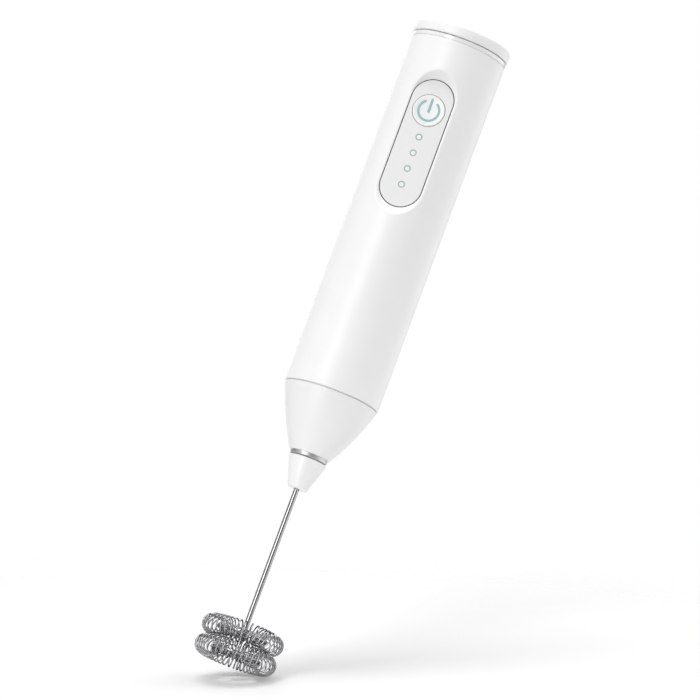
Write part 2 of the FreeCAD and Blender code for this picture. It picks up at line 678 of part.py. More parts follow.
pocketed(housing, "panel_bore_cut", middle_bore, "(%s) - (%s)" % (bore_start, bore_end))
recess = sketch_on(housing, "recess_floor", "XZ_Plane", "panel_face")
slot(recess, "pocket_half_width + recess_ledge", "panel_run", "panel_mid")
recess_cut = pocketed(housing, "recess_cut", recess, "body_radius - panel_face + cut_over", outward=True)
recess_cut.setExpression("TaperAngle", bound("recess_slope * 1 deg"))
doc.recompute()
window = sketch_on(housing, "panel_pocket", "XZ_Plane", "panel_face")
slot(window, "pocket_half_width", "panel_run", "panel_mid")
pocketed(housing, "panel_pocket_cut", window, "panel_thick")
window = sketch_on(housing, "panel_window", "XZ_Plane", "panel_back")
slot(window, "seat_half_width", "panel_run", "panel_mid")
pocketed(housing, "panel_window_cut", window, "panel_seat + cut_over")

CLOSE = 0.01
rim = []
for number, edge in enumerate(housing.Shape.Edges, start=1):
    middle = edge.valueAt((edge.FirstParameter + edge.LastParameter) / 2)
    on_skin = abs(math.hypot(middle.x, middle.y) - value("body_radius")) < CLOSE
    beside_panel = value(bore_end) < middle.z < value(bore_start)
    if on_skin and beside_panel and middle.y < -value("seat_back"):
        rim.append("Edge%d" % number)
carved = housing.Tip
rounding = housing.newObject("PartDesign::Fillet", "recess_rim")
rounding.Base = (carved, rim)
rounding.setExpression("Radius", bound("rim_round"))
housing.Tip = rounding
doc.recompute()
keep(housing, "main_housing")

# Nose cone: convex outside, a bearing seat below and a spigot for the housing above.
turned("nose_cone", [
    ("nose_spigot_radius", "cone_base"),
    ("cone_small_radius - edge_break", "cone_base"),
    ("cone_small_radius", "cone_base + edge_break"),
    ("cone_large_radius", "cone_top - edge_break", "cone_bulge_radius"),
    ("cone_large_radius - edge_break", "cone_top"),
    ("cone_large_radius - seam_depth", "cone_top"),
    ("cone_large_radius - seam_depth", "body_base"),
    ("spigot_radius", "body_base"),
    ("spigot_radius", "spigot_top"),
    ("spigot_radius - spigot_wall", "spigot_top"),
    ("spigot_radius - spigot_wall", "body_base - spigot_bore_drop"),
    ("bush_radius + cone_floor_width", "seal_top + cone_floor_over"),
    ("bush_radius", "seal_top + cone_floor_over"),
    ("bush_radius", "nose_spigot_top"),
    ("nose_spigot_radius", "nose_spigot_top"),
])
turned("nose_ring", [
    ("nose_ring_bore", "nose_ring_base"),
    ("nose_ring_radius - ring_break", "nose_ring_base"),
    ("nose_ring_radius", "nose_ring_base + ring_break"),
    ("nose_ring_radius", "cone_base"),
    ("nose_spigot_radius - fit_gap", "cone_base"),
    ("nose_spigot_radius - fit_gap", "nose_spigot_top"),
    ("nose_ring_bore", "nose_spigot_top"),
])
tube("nose_bush", "journal_radius + run_gap", "bush_radius", "nose_spigot_top", "bush_top")
turned("shaft_seal", [
    ("journal_radius + run_gap", "bush_top + seal_lip_rise"),
    ("journal_radius + seal_floor", "bush_top"),
    ("bush_radius", "bush_top"),
    ("bush_radius", "seal_top"),
    ("bush_radius - seal_wall", "seal_top"),
    ("bush_radius - seal_wall", "bush_top + seal_floor"),
    ("journal_radius + seal_lip_rise", "bush_top + seal_floor"),
    ("journal_radius + run_gap", "bush_top + seal_lip_rise + seal_lip_thick"),
])

# ---------------------------------------------------------------- upper end

turned("trim_ring", [
    ("trim_bore", "end_plate_top"),
    ("body_bore - fit_gap", "end_plate_top"),
    ("body_bore - fit_gap", "body_top"),
    ("trim_radius - shadow_depth", "body_top"),
    ("trim_radius - shadow_depth", "body_top + shadow_gap"),
    ("trim_radius", "body_top + shadow_depth", "soft_edge"),
    ("trim_radius", "trim_top - soft_edge"),
    ("trim_radius - soft_edge", "trim_top", "soft_edge * arc_ease"),
    ("trim_bore", "trim_top"),
])
cap_inner = "cap_plug_radius - cap_plug_wall"
turned("top_cap", [
    (cap_inner, "cap_skirt"),
    ("cap_plug_radius - cap_lead", "cap_skirt"),
    ("cap_plug_radius", "cap_skirt + cap_lead"),
    ("cap_plug_radius", "groove_base"),
    ("cap_plug_radius - cap_groove_deep", "groove_base"),
    ("cap_plug_radius - cap_groove_deep", "groove_base + cap_groove_height"),
    ("cap_plug_radius", "groove_base + cap_groove_height"),
    ("cap_plug_radius", "cap_base"),
    ("cap_radius - soft_edge", "cap_base"),
    ("cap_radius", "cap_base + soft_edge"),
    ("cap_radius", "cap_top - cap_round"),
    ("cap_radius - cap_round", "cap_top", "cap_round * arc_ease"),
    ("0", "cap_top"),
    ("0", "cap_top - cap_roof"),
    (cap_inner, "cap_top - cap_roof"),
])
tube("cap_seal", "cap_plug_radius - cap_groove_deep", "trim_bore - cap_seal_ease",
     "groove_base + cap_seal_ease", "groove_base + cap_groove_height - cap_seal_ease")

plate = new_body("end_plate_blank")
disc = sketch_on(plate, "end_plate_disc", "XY_Plane", "end_plate_base")
circle(disc, "body_bore - fit_gap")
padded(plate, "end_plate_pad", disc, "end_plate_thick")
for side in ("end_screw_side", "-end_screw_side"):
    hole = sketch_on(plate, "screw_hole", "XY_Plane", "end_plate_top")
    circle(hole, "board_screw_radius + fit_gap", side, "end_screw_back")
    pocketed(plate, "screw_hole_cut", hole, "end_plate_thick")
    sink = sketch_on(plate, "screw_sink", "XY_Plane", "end_plate_top")
    circle(sink, "board_screw_radius * 2", side, "end_screw_back")
    pocketed(plate, "screw_sink_cut", sink, "end_plate_thick / 2")
port = block("port_opening", centred("usb_width / 2 + port_gap"), centred("usb_thick / 2 + port_gap"),
             ("end_plate_base - cut_over", "end_plate_top + cut_over"))
keep(without("end_plate_cut", plate, port), "end_plate")


def screw(name, radius, head, length, at, turn=UPRIGHT):
    """A pan-head screw whose shank runs along its own +Z from the head's seat."""
    profile = turned_body(name, [
        ("0", "0 - (%s)" % head),
        ("%s * crown_radius" % radius, "0 - (%s)" % head),
        ("%s * head_radius" % radius, "0 - (%s) * head_side" % head),
        ("%s * head_radius" % radius, "0"),
        (radius, "0"),
        (radius, length),
        ("0", length),
    ])
    arm = centred("%s * drive_length" % radius)
    flank = centred("%s * drive_width" % radius)
    depth = ("0 - (%s) - fit_gap" % head, "0 - (%s) * drive_deep" % head)
    drive = joined(name + "_drive", [
        block(name + "_slot", arm, flank, depth),
        block(name + "_cross", flank, arm, depth),
    ])
    return place(without(name + "_cut", profile, drive), at, turn)


DOWNWARD = Rotation(Vector(1, 0, 0), 180)
gathered("end_plate_screws", [
    screw("end_screw", "end_screw_radius", "end_screw_head", "end_screw_length",
          (side, "end_screw_back", "end_plate_top - end_plate_thick / 2"), DOWNWARD)
    for side in ("end_screw_side", "-end_screw_side")])

# ---------------------------------------------------------------- control panel

panel = new_body("control_panel")
face = sketch_on(panel, "panel_outline", "XZ_Plane", "panel_back")
slot(face, "panel_half_width", "panel_run", "panel_mid")
padded(panel, "panel_pad", face, "panel_thick")
hole = sketch_on(panel, "button_hole", "XZ_Plane", "panel_face")
circle(hole, "button_radius + button_gap", "0", "button_height")
pocketed(panel, "button_hole_cut", hole, "panel_thick")
hole = sketch_on(panel, "guide_hole", "XZ_Plane", "panel_face")
circle(hole, "dot_radius + fit_gap", "0", "dot_height")
guide_hole = pocketed(panel, "guide_hole_cut", hole, "panel_thick")
hole = sketch_on(panel, "ring_recess", "XZ_Plane", "panel_face")
circle(hole, "dot_ring", "0", "dot_height")
ring_recess = pocketed(panel, "ring_recess_cut", hole, "dot_ring_deep")
dot_run = "dot_pitch * (dot_count - 1)"
repeated(panel, "indicator_row", [guide_hole, ring_recess], "dot_count", dot_run)
keep(panel, "control_panel")

gasket = new_body("panel_gasket")
face = sketch_on(gasket, "gasket_outline", "XZ_Plane", "panel_back")
slot(face, "pocket_half_width - gasket_gap", "panel_run", "panel_mid")
padded(gasket, "gasket_pad", face, "panel_thick - gasket_drop")
face = sketch_on(gasket, "gasket_inside", "XZ_Plane", "panel_face")
slot(face, "panel_half_width + gasket_gap", "panel_run", "panel_mid")
pocketed(gasket, "gasket_cut", face, "panel_thick + cut_over")
keep(gasket, "panel_gasket")

bezels = new_body("indicator_rings")
face = sketch_on(bezels, "ring_outline", "XZ_Plane", "panel_face - dot_ring_deep")
circle(face, "dot_ring", "0", "dot_height")
circle(face, "dot_radius + fit_gap", "0", "dot_height")
ring = padded(bezels, "ring_pad", face, "dot_ring_deep")
repeated(bezels, "ring_row", [ring], "dot_count", dot_run)
keep(bezels, "indicator_rings")

guides = new_body("light_guides")
face = sketch_on(guides, "guide_outline", "XZ_Plane", "board_face + guide_gap")
circle(face, "dot_radius", "0", "dot_height")
stem = padded(guides, "guide_pad", face, "panel_face - board_face - guide_gap")
face = sketch_on(guides, "guide_flange", "XZ_Plane", "panel_back - guide_flange_thick")
circle(face, "dot_radius + guide_flange_over", "0", "dot_height")
flange = padded(guides, "guide_flange_pad", face, "guide_flange_thick")
repeated(guides, "guide_row", [stem, flange], "dot_count", dot_run)
keep(guides, "light_guides")

# Power button: its own axis points out of the panel.
button_at = ("0", "0", "button_height")
button = turned_body("button_blank", [
    ("0", "stem_end"),
    ("stem_radius", "stem_end"),
    ("stem_radius", "flange_back"),
    ("flange_radius", "flange_back"),
    ("flange_radius", "flange_front"),
    ("button_radius", "flange_front"),
    ("button_radius", "button_face - soft_edge"),
    ("button_radius - soft_edge", "button_face", "soft_edge * arc_ease"),
    ("0", "button_face"),
])
place(button, button_at, OUTWARD)


def symbol(name):
    """The power symbol's open ring and tick, sunk into the button's face."""
    base = "button_face - symbol_deep"
    outer = rod(name + "_outer", "symbol_radius + symbol_stroke / 2", "symbol_deep", ("0", "0", base))
    inner = rod(name + "_inner", "symbol_radius - symbol_stroke / 2", "symbol_deep", ("0", "0", base))
    ring = without(name + "_ring", outer, inner)
    gap = block(name + "_gap", centred("symbol_gap"), ("0", "symbol_radius * 2"),
                (base, "button_face"))
    tick = block(name + "_tick", centred("symbol_stroke / 2"), ("0", "symbol_tick"),
                 (base, "button_face"))
    mark = joined(name, [without(name + "_open_ring", ring, gap), tick])
    return place(mark, button_at, OUTWARD)


keep(without("button_cut", button, symbol("symbol_recess")), "power_button")
keep(symbol("power_symbol_parts"), "power_symbol")

# ---------------------------------------------------------------- main board

board = block("board_blank", centred("board_half_width"), ("-board_face", "-board_back"),
              ("board_base", "board_top"))
post_heights = ("saddle_low + web_thick / 2", "upper_web + web_thick / 2")
posts = [(side, height) for height in post_heights for side in ("post_x", "-post_x")]
board_holes = joined("board_holes", [
    rod("board_hole", "board_screw_radius + fit_gap", "board_thick + 2 * cut_over",
        (side, "-board_face - cut_over", height), INWARD)
    for side, height in posts])
keep(without("main_board_cut", board, board_holes), "main_board")
gathered("board_screws", [
    screw("board_screw", "board_screw_radius", "board_screw_head", "board_screw_length",
          (side, "-board_face", height), INWARD)
    for side, height in posts])
switch = block("switch_blank", centred("switch_half_width"), ("-switch_top", "-board_face"),
               ("button_height - switch_half_width", "button_height + switch_half_width"))
well = rod("switch_well", "plunger_radius + 2 * fit_gap", "switch_top - board_face - switch_floor",
           ("0", "-switch_top", "button_height"), INWARD)
keep(without("switch_cut", switch, well), "switch_body")
keep(rod("plunger", "plunger_radius", "plunger_length", ("0", "-plunger_tip", "button_height"), INWARD),
     "switch_plunger")
gathered("indicator_leds", [
    block("led", centred("led_half_width"), ("-board_face - led_thick", "-board_face"),
          ("dot_height - dot_pitch * %d - led_half_height" % step,
           "dot_height - dot_pitch * %d + led_half_height" % step))
    for step in range(int(value("dot_count")))])


def component(name, left, low, across, up, thick):
    """A component on the back of the main board, placed by its lower left corner."""
    low = "board_base + %s" % low
    return block(name, (left, "%s + %s" % (left, across)), ("-board_back", "-board_back + %s" % thick),
                 (low, "%s + %s" % (low, up)))


# Board layout: left edge, height above the board's lower end, then width, height and thickness.
gathered("board_chips", [
    component("driver_chip", "-2.5", "9", "5", "4", "1.5"),
    component("charge_chip", "-2", "21", "4", "5", "1.2"),
    component("motor_switch", "3.6", "12", "3.8", "3", "1.1"),
])
gathered("board_passives", [
    component("passive", left, low, "1.6", "0.8", "0.8")
    for left, low in (("-6.5", "10"), ("-6.5", "13"), ("-6.5", "21"), ("-6.5", "24"),
                      ("4.5", "21"), ("4.5", "24"), ("-0.8", "17"), ("4.5", "29"))])

# ---------------------------------------------------------------- chassis, cell and charging

shell = without("chassis_tube",
                rod("chassis_outside", "chassis_radius", "end_plate_base - chassis_base",
                    ("0", "0", "chassis_base")),
                rod("chassis_inside", "chassis_radius - chassis_wall", "end_plate_base - chassis_base",
                    ("0", "0", "chassis_base")))
rear_half = block("chassis_rear_half", centred("chassis_radius + cut_over"),
                  ("-chassis_front", "chassis_radius + cut_over"), ("chassis_base", "end_plate_base"))


def web(name, low):
    """A cross plate inside the chassis, cut straight across its front."""
    disc = rod(name + "_disc", "chassis_radius - chassis_wall / 2", "web_thick", ("0", "0", low))
    front = block(name + "_front", centred("chassis_radius"), ("-web_front", "chassis_radius"),
                  (low, "%s + web_thick" % low))
    return within(name, disc, front)


solid_parts = [within("chassis_shell", shell, rear_half)]
solid_parts += [web("lower_web", "lower_web"), web("upper_web", "upper_web")]
solid_parts += [web("lower_saddle", "saddle_low"), web("upper_saddle", "saddle_high")]
solid_parts += [
    rod("board_post", "post_radius", "board_back + chassis_wall", (side, "-board_back", height), INWARD)
    for side, height in posts]
solid_parts += [
    rod("end_post", "end_post_radius", "end_post_length",
        (side, "end_screw_back", "end_plate_base - end_post_length"))
    for side in ("end_screw_side", "-end_screw_side")]
rail_top = "charge_base + charge_height"
solid_parts += [
    block("charge_rail", span, ("charge_face - rail_front", "charge_face + rail_back"),
          ("charge_base", rail_top))
    for span in (("charge_half_width - rail_overlap", "rail_end"),
                 ("-rail_end", "-(charge_half_width - rail_overlap)"))]
chassis_openings = [
    rod("cell_bay", "cell_radius + cell_gap", "saddle_high + web_thick - saddle_low + bay_over",
        ("0", "cell_back", "saddle_low - bay_over")),
    block("cell_way", centred("cell_radius + cell_gap"), ("-web_front - cut_over", "cell_back"),
          ("saddle_low", "saddle_high + web_thick")),
    block("charge_groove", centred("charge_half_width + fit_gap"),
          ("charge_face - fit_gap", "charge_face + board_thick + fit_gap"), ("charge_base", rail_top)),
    block("lead_notch", centred("lead_notch_half"), ("-web_front - cut_over", "-lead_notch_back"),
          ("lower_web - cut_over", "lower_web + web_thick + cut_over")),
    block("link_notch", centred("link_notch_half"), ("-web_front - cut_over", "-link_notch_back"),
          ("upper_web - cut_over", "upper_web + web_thick + cut_over")),
]
chassis_openings += [
    rod("post_pilot", "board_screw_radius + fit_gap", "board_screw_length + pilot_spare",
        (side, "-board_back", height), INWARD)
    for side, height in posts]
chassis_openings += [
    rod("end_pilot", "board_screw_radius + fit_gap", "end_screw_length",
        (side, "end_screw_back", "end_plate_base - end_screw_length"))
    for side in ("end_screw_side", "-end_screw_side")]
keep(without("chassis_cut", joined("chassis_solid", solid_parts),
             joined("chassis_openings", chassis_openings)), "chassis")

cell = turned_body("battery_cell", [
    ("0", "0"),
    ("cell_radius - cell_edge", "0"),
    ("cell_radius", "cell_edge"),
    ("cell_radius", "cell_length - cell_edge"),
    ("cell_radius - cell_edge", "cell_length"),
    ("0", "cell_length"),
])
place(cell, ("0", "cell_back", "cell_base"))
keep(cell, "battery_cell")
keep(rod("cell_cap", "cell_cap_radius", "cell_cap_height", ("0", "cell_back", "cell_top")),
     "cell_terminal")
gathered("cell_tabs", [
    block("lower_tab", centred("tab_half_width"), ("-lower_tab_front", "cell_back + tab_reach"),
          ("cell_base - tab_thick", "cell_base")),
    block("upper_tab", centred("tab_half_width"), ("-upper_tab_front", "cell_back + tab_reach"),
          ("cell_cap_top", "cell_cap_top + tab_thick")),
])
keep(block("charge_board", centred("charge_half_width"), ("charge_face", "charge_face + board_thick"),
           ("charge_base", "charge_base + charge_height")), "charging_board")

SIDEWAYS = Rotation(Vector(0, 0, 1), 90)
usb_run = "usb_width / 2 - usb_thick / 2"
usb = new_body("usb_shell")
face = sketch_on(usb, "usb_outline", "XY_Plane", "usb_base")
slot(face, "usb_thick / 2 - usb_board_gap", usb_run)
padded(usb, "usb_pad", face, "usb_length")
face = sketch_on(usb, "usb_mouth", "XY_Plane", "end_plate_top")
slot(face, "usb_thick / 2 - usb_sheet", usb_run)
pocketed(usb, "usb_mouth_cut", face, "usb_length - usb_sheet")
place(usb, ("0", "0", "0"), SIDEWAYS)
keep(usb, "usb_shell")
keep(joined("usb_tongue_parts", [
    block("usb_tongue_blade", centred("tongue_half_width"), centred("tongue_half_thick"),
          ("usb_base + usb_sheet", "end_plate_top - tongue_recess")),
    block("usb_tongue_root", centred("tongue_half_width"), centred("tongue_root_half"),
          ("usb_base + usb_sheet", "usb_base + tongue_root_top")),
]), "usb_tongue")
link_columns = ["-pin_pitch * 1.5", "-pin_pitch * 0.5", "pin_pitch * 0.5", "pin_pitch * 1.5"]


def link(name, across):
    """A square pin from the main board to the charging board."""
    return block(name, ("%s - pin_half_width" % across, "%s + pin_half_width" % across),
                 ("-board_back", "charge_face"),
                 ("link_height - pin_half_width", "link_height + pin_half_width"))


gathered("link_pins", [link("link_pin", across) for across in link_columns])
spacer = block("link_spacer_blank", centred("pin_pitch * 2"),
               ("-board_back + spacer_front_gap", "charge_face - spacer_back_gap"),
               ("link_height - spacer_half_height", "link_height + spacer_half_height"))
keep(without("link_spacer_cut", spacer, joined("link_ways", [
    link("link_way", across) for across in link_columns])), "link_spacer")

# ---------------------------------------------------------------- motor

mount = new_body("motor_mount")
disc = sketch_on(mount, "mount_disc", "XY_Plane", "mount_base")
circle(disc, "chassis_radius")
circle(disc, "bearing_radius + mount_bore_gap")
padded(mount, "mount_pad", disc, "mount_thick")
for side in ("screw_circle", "-screw_circle"):
    hole = sketch_on(mount, "mount_hole", "XY_Plane", "motor_base")
    circle(hole, "motor_screw_radius + fit_gap", side, "0")
    pocketed(mount, "mount_hole_cut", hole, "mount_thick")
keep(mount, "motor_mount")
gathered("motor_screws", [
    screw("motor_screw", "motor_screw_radius", "motor_screw_head", "mount_thick + motor_screw_reach",
          (side, "0", "mount_base"))
    for side in ("screw_circle", "-screw_circle")])
can = turned_body("can_blank", [
    ("bearing_radius", "motor_base - can_nose"),
    ("bearing_radius + can_nose_wall", "motor_base - can_nose"),
    ("bearing_radius + can_nose_wall", "motor_base"),
    ("motor_radius - can_edge", "motor_base"),
    ("motor_radius", "motor_base + can_edge", "can_edge * arc_ease"),
    ("motor_radius", "motor_top"),
    ("motor_bore", "motor_top"),
    ("motor_bore", "motor_base + can_front"),
    ("bearing_radius", "motor_base + can_front"),
])
can_holes = joined("can_holes", [
    rod("can_hole", "motor_screw_radius + fit_gap", "can_front + 2 * cut_over",
        (side, "0", "motor_base - cut_over"))
    for side in ("screw_circle", "-screw_circle")])
keep(without("motor_can_cut", can, can_holes), "motor_can")
damper_base = "motor_base + damper_low"
tube("motor_damper", "motor_radius + fit_gap", "body_bore - fit_gap",
     damper_base, "%s + damper_length" % damper_base)
turned("motor_end_bell", [
    ("bearing_radius", "bell_foot"),
    ("motor_bore - fit_gap", "bell_foot"),
    ("motor_bore - fit_gap", "motor_top"),
    ("motor_radius", "motor_top"),
    ("motor_radius", "bell_top - bell_edge"),
    ("motor_radius - bell_edge", "bell_top"),
    ("bearing_radius + boss_wall", "bell_top"),
    ("bearing_radius + boss_wall", "bell_top + boss_height"),
    ("bearing_radius", "bell_top + boss_height"),
])
tube("front_bearing", "shaft_radius + run_gap", "bearing_radius",
     "motor_base - can_nose", "motor_base - can_nose + bearing_length")
tube("rear_bearing", "shaft_radius + run_gap", "bearing_radius",
     "bell_top + boss_height - bearing_length", "bell_top + boss_height")
magnet_low = "rotor_base - magnet_drop"
magnet_foot = ("0", "0", magnet_low)
magnet_ring = without("magnet_tube",
                      rod("magnet_outside", "motor_bore - fit_gap", "magnet_length", magnet_foot),
                      rod("magnet_inside", "motor_bore - magnet_thick", "magnet_length", magnet_foot))
magnet_gap = block("magnet_gap", centred("motor_bore"), centred("magnet_gap_half"),
                   (magnet_low, "%s + magnet_length" % magnet_low))
keep(without("magnet_pair", magnet_ring, magnet_gap), "motor_magnets")


def brush(name, turn):
    """One carbon brush and the arm it hangs from."""
    arm_side = "commutator_radius + brush_reach"
    parts = joined(name, [
        block(name + "_block", ("commutator_radius + fit_gap", arm_side), centred("brush_half_width"),
              ("commutator_base + brush_low", "commutator_base + brush_high")),
        block(name + "_arm", (arm_side, "%s + brush_arm_thick" % arm_side), centred("brush_arm_half"),
              ("commutator_base + brush_low", "bell_foot")),
    ])
    return place(parts, ("0", "0", "0"), turn)


gathered("motor_brushes", [
    brush("right_brush", UPRIGHT),
    brush("left_brush", Rotation(Vector(0, 0, 1), 180)),
])
gathered("motor_terminals", [
    block("terminal", ("%s - terminal_thick / 2" % side, "%s + terminal_thick / 2" % side),
          centred("terminal_width / 2"), ("bell_top", "bell_top + terminal_height"))
    for side in ("terminal_side", "-terminal_side")])

# Rotor: three poles, a coil round each.
pole_angles = (90, 210, 330)
rotor_foot = ("0", "0", "rotor_base")


def pole(name, angle):
    """One pole of the rotor core: a neck and a curved head."""
    neck = block(name + "_neck", centred("neck_half_width"), ("0", "rotor_radius - crown_thick / 2"),
                 ("rotor_base", "rotor_top"))
    crown = without(name + "_crown",
                    rod(name + "_crown_outside", "rotor_radius", "rotor_length", rotor_foot),
                    rod(name + "_crown_inside", "rotor_radius - crown_thick", "rotor_length", rotor_foot))
    sector = block(name + "_sector", centred("rotor_radius * crown_share"), ("shaft_radius", "rotor_radius"),
                   ("rotor_base", "rotor_top"))
    parts = joined(name, [neck, within(name + "_head", crown, sector)])
    return place(parts, ("0", "0", "0"), Rotation(Vector(0, 0, 1), angle - 90))


core = joined("core_blank", [pole("pole", angle) for angle in pole_angles]
              + [rod("core_middle", "shaft_radius + core_hub_wall", "rotor_length", rotor_foot)])
keep(without("rotor_core_cut", core, rod("core_bore", "shaft_radius", "rotor_length", rotor_foot)),
     "rotor_core")


def winding(name, angle):
    """A coil wound round one pole's neck."""
    bundle = block(name + "_bundle", centred("winding_half_width"),
                   ("shaft_radius + winding_start", "rotor_radius - winding_end"),
                   ("rotor_base - winding_over", "rotor_top + winding_over"))
    neck = block(name + "_way", centred("neck_half_width + winding_ease"), ("0", "rotor_radius"),
                 ("rotor_base - winding_ease", "rotor_top + winding_ease"))
    parts = without(name, bundle, neck)
    return place(parts, ("0", "0", "0"), Rotation(Vector(0, 0, 1), angle - 90))


gathered("rotor_windings", [winding("winding", angle) for angle in pole_angles])
tube("commutator", "shaft_radius", "commutator_radius",
     "commutator_base", "commutator_base + commutator_length")
shaft_foot = "seal_top - shaft_drop"
keep(rod("shaft", "shaft_radius", "bell_top + shaft_over - (%s)" % shaft_foot, ("0", "0", shaft_foot)),
     "motor_shaft")

spindle = turned_body("spindle", [
    ("0", "hub_top - spindle_foot"),
    ("spindle_neck", "hub_top - spindle_foot"),
    ("spindle_neck", "cone_base - spindle_step"),
    ("journal_radius", "cone_base - spindle_step + journal_radius - spindle_neck"),
    ("journal_radius", "seal_top + spindle_over"),
    ("shaft_radius", "seal_top + spindle_over"),
    ("shaft_radius", "%s - socket_spare" % shaft_foot),
    ("0", "%s - socket_spare" % shaft_foot),
])
hexagon = doc.addObject("Part::Prism", "drive_hexagon")
hexagon.Polygon = 6
hexagon.setExpression("Circumradius", bound("hex_flats / sqrt(3)"))
hexagon.setExpression("Height", bound("hex_length - hex_foot_gap - spindle_foot + 2 * fit_gap"))
place(hexagon, ("0", "0", "hex_base + hex_foot_gap"))
keep(joined("drive_spindle_parts", [spindle, hexagon]), "drive_spindle")

# ---------------------------------------------------------------- whisk

hub = turned_body("hub_blank", [
    ("rod_radius", "hub_base"),
    ("hub_small_radius - soft_edge", "hub_base"),
    ("hub_small_radius", "hub_base + soft_edge", "soft_edge * arc_ease"),
    ("hub_large_radius", "hub_top - hub_edge"),
    ("hub_large_radius - hub_edge", "hub_top", "hub_edge * arc_ease"),
    ("hub_pocket_radius", "hub_top"),
    ("hub_pocket_radius", "hub_top - hub_pocket_deep"),
    ("0", "hub_top - hub_pocket_deep"),
    ("0", "rod_top"),
    ("rod_radius", "rod_top"),
])
socket = doc.addObject("Part::Prism", "hub_socket")
socket.Polygon = 6
socket.setExpression("Circumradius", bound("(hex_flats + hex_clearance) / sqrt(3)"))
socket.setExpression("Height", bound("hex_length"))
place(socket, ("0", "0", "hex_base"))
keep(without("whisk_hub_cut", hub, socket), "whisk_hub")
oring = shape("Torus", "oring", {"Radius1": "oring_inner + oring_wire", "Radius2": "oring_wire"},
              ("0", "0", "hub_top - oring_depth"))
keep(oring, "hub_oring")
collar_low = "coil_low - collar_height / 2"
keep(rod("shaft_rod", "rod_radius", "rod_top - (%s)" % collar_low, ("0", "0", collar_low)), "whisk_shaft")


def ring_frame(label, height):
    """A collar on the whisk shaft, spokes, and the ring wire inside a coil."""
    low = "%s - collar_height / 2" % height
    parts = [rod(label + "_collar", "collar_radius", "collar_height", ("0", "0", low))]
    parts.append(shape("Torus", label + "_ring", {"Radius1": "core_ring_radius",
                                                  "Radius2": "core_wire_radius"}, ("0", "0", height)))
    spokes = int(value("spoke_count"))
    for index in range(spokes):
        angle = 180 / value("coil_turns") + 360 / spokes * index
        turn = Rotation(Vector(0, 0, 1), angle) * Rotation(Vector(0, 1, 0), 90)
        parts.append(rod(label + "_spoke", "spoke_radius", "core_ring_radius", ("0", "0", height), turn))
    hole = rod(label + "_hole", "rod_radius", "collar_height", ("0", "0", low))
    keep(without(label + "_cut", joined(label + "_solid", parts), hole), label)


ring_frame("upper_ring_frame", "coil_high")
ring_frame("lower_ring_frame", "coil_low")


SEWING = 0.001


def half_turns(height):
    """The skin of an endless ring coil, half a turn at a time.

    Each half turn is half a circle standing on end, so the halves meet with
    the wire running straight up or down.
    """
    turns = int(value("coil_turns"))
    wire = value("coil_wire_radius")
    faces = []
    for index in range(2 * turns):
        here = math.pi / turns * index
        there = math.pi / turns * (index + 1)
        radii = (value("coil_inner"), value("coil_outer"))
        start_radius, end_radius = radii if index % 2 == 0 else radii[::-1]
        start = Vector(start_radius * math.cos(here), start_radius * math.sin(here), height)
        end = Vector(end_radius * math.cos(there), end_radius * math.sin(there), height)
        chord = (end - start).normalize()
        axis = Vector(0, 0, 1).cross(chord)
        section = Part.Circle(start, Vector(0, 0, 1), wire).toShape()
        sense = 1 if index % 2 == 0 else -1
        faces += section.revolve((start + end) / 2, axis * sense, 180).Faces
    return faces


def ring_coil(label, height):
    """A sprung wire coil bent round into a ring, its ends hooked together."""
    skin = Part.makeCompound(half_turns(value(height)))
    skin.sewShape(SEWING)
    wire = Part.Solid(skin.Shells[0])
    if wire.Volume < 0:
        wire.reverse()
    item = doc.addObject("Part::Feature", label)
    item.Shape = wire
    keep(item, label)


ring_coil("upper_coil", "coil_high")
ring_coil("lower_coil", "coil_low")

# ---------------------------------------------------------------- wiring


def lead_path(points, bend):
    """Straight runs through the points with rounded corners."""
    edges = []
    start = points[0]
    for index in range(1, len(points) - 1):
        corner = points[index]
        back = (points[index - 1] - corner).normalize()
        ahead = (points[index + 1] - corner).normalize()
        half = back.getAngle(ahead) / 2
        reach = bend / math.tan(half)
        first = corner + back * reach
        last = corner + ahead * reach
        inner = (back + ahead).normalize()
        middle = corner + inner * (bend / math.sin(half) - bend)
        edges.append(Part.LineSegment(start, first).toShape())
        edges.append(Part.Arc(first, middle, last).toShape())
        start = last
    edges.append(Part.LineSegment(start, points[-1]).toShape())
    return Part.Wire(edges)


def lead(points, bend):
    """An insulated lead routed through the points."""
    places = [Vector(*[value(formula) for formula in point]) for point in points]
    path = lead_path(places, bend)
    along = (places[1] - places[0]).normalize()
    end = Part.Wire(Part.Circle(places[0], along, value("lead_radius")).toShape())
    return path.makePipeShell([end], True, False)


def loom(label, routes, bend):
    """A pair of leads as one sub-part."""
    item = doc.addObject("Part::Feature", label)
    item.Shape = Part.makeCompound([lead(route, bend) for route in routes])
    keep(item, label)


lead_front = "-board_back + lead_radius + fit_gap"
loom("motor_leads", [
    [(side + "terminal_side", "0", "bell_top + terminal_height"),
     (side + "terminal_side", "0", "bell_top + lead_rise"),
     (side + "lead_side", lead_front, "lower_web - lead_knee"),
     (side + "lead_side", lead_front, "board_base + lead_on_board")]
    for side in ("", "-")], value("lead_bend"))
lower_tab_mid = "cell_base - tab_thick / 2"
upper_tab_mid = "cell_cap_top + tab_thick / 2"
upper_knee = "cell_top - upper_lead_drop"
loom("battery_leads", [
    [("-battery_lead_side", "-lower_tab_front", lower_tab_mid),
     ("-battery_lead_side", "-lower_tab_front - battery_lead_step", lower_tab_mid),
     ("-battery_lead_side", lead_front, "board_base"),
     ("-battery_lead_side", lead_front, "board_base + battery_lead_on_board")],
    [("battery_lead_side", "-upper_tab_front", upper_tab_mid),
     ("battery_lead_side", "-upper_tab_front - upper_lead_step", upper_tab_mid),
     ("battery_lead_side", lead_front, upper_knee),
     ("battery_lead_side", lead_front, "%s - battery_lead_on_board" % upper_knee)],
], value("battery_lead_bend"))

# ---------------------------------------------------------------- export

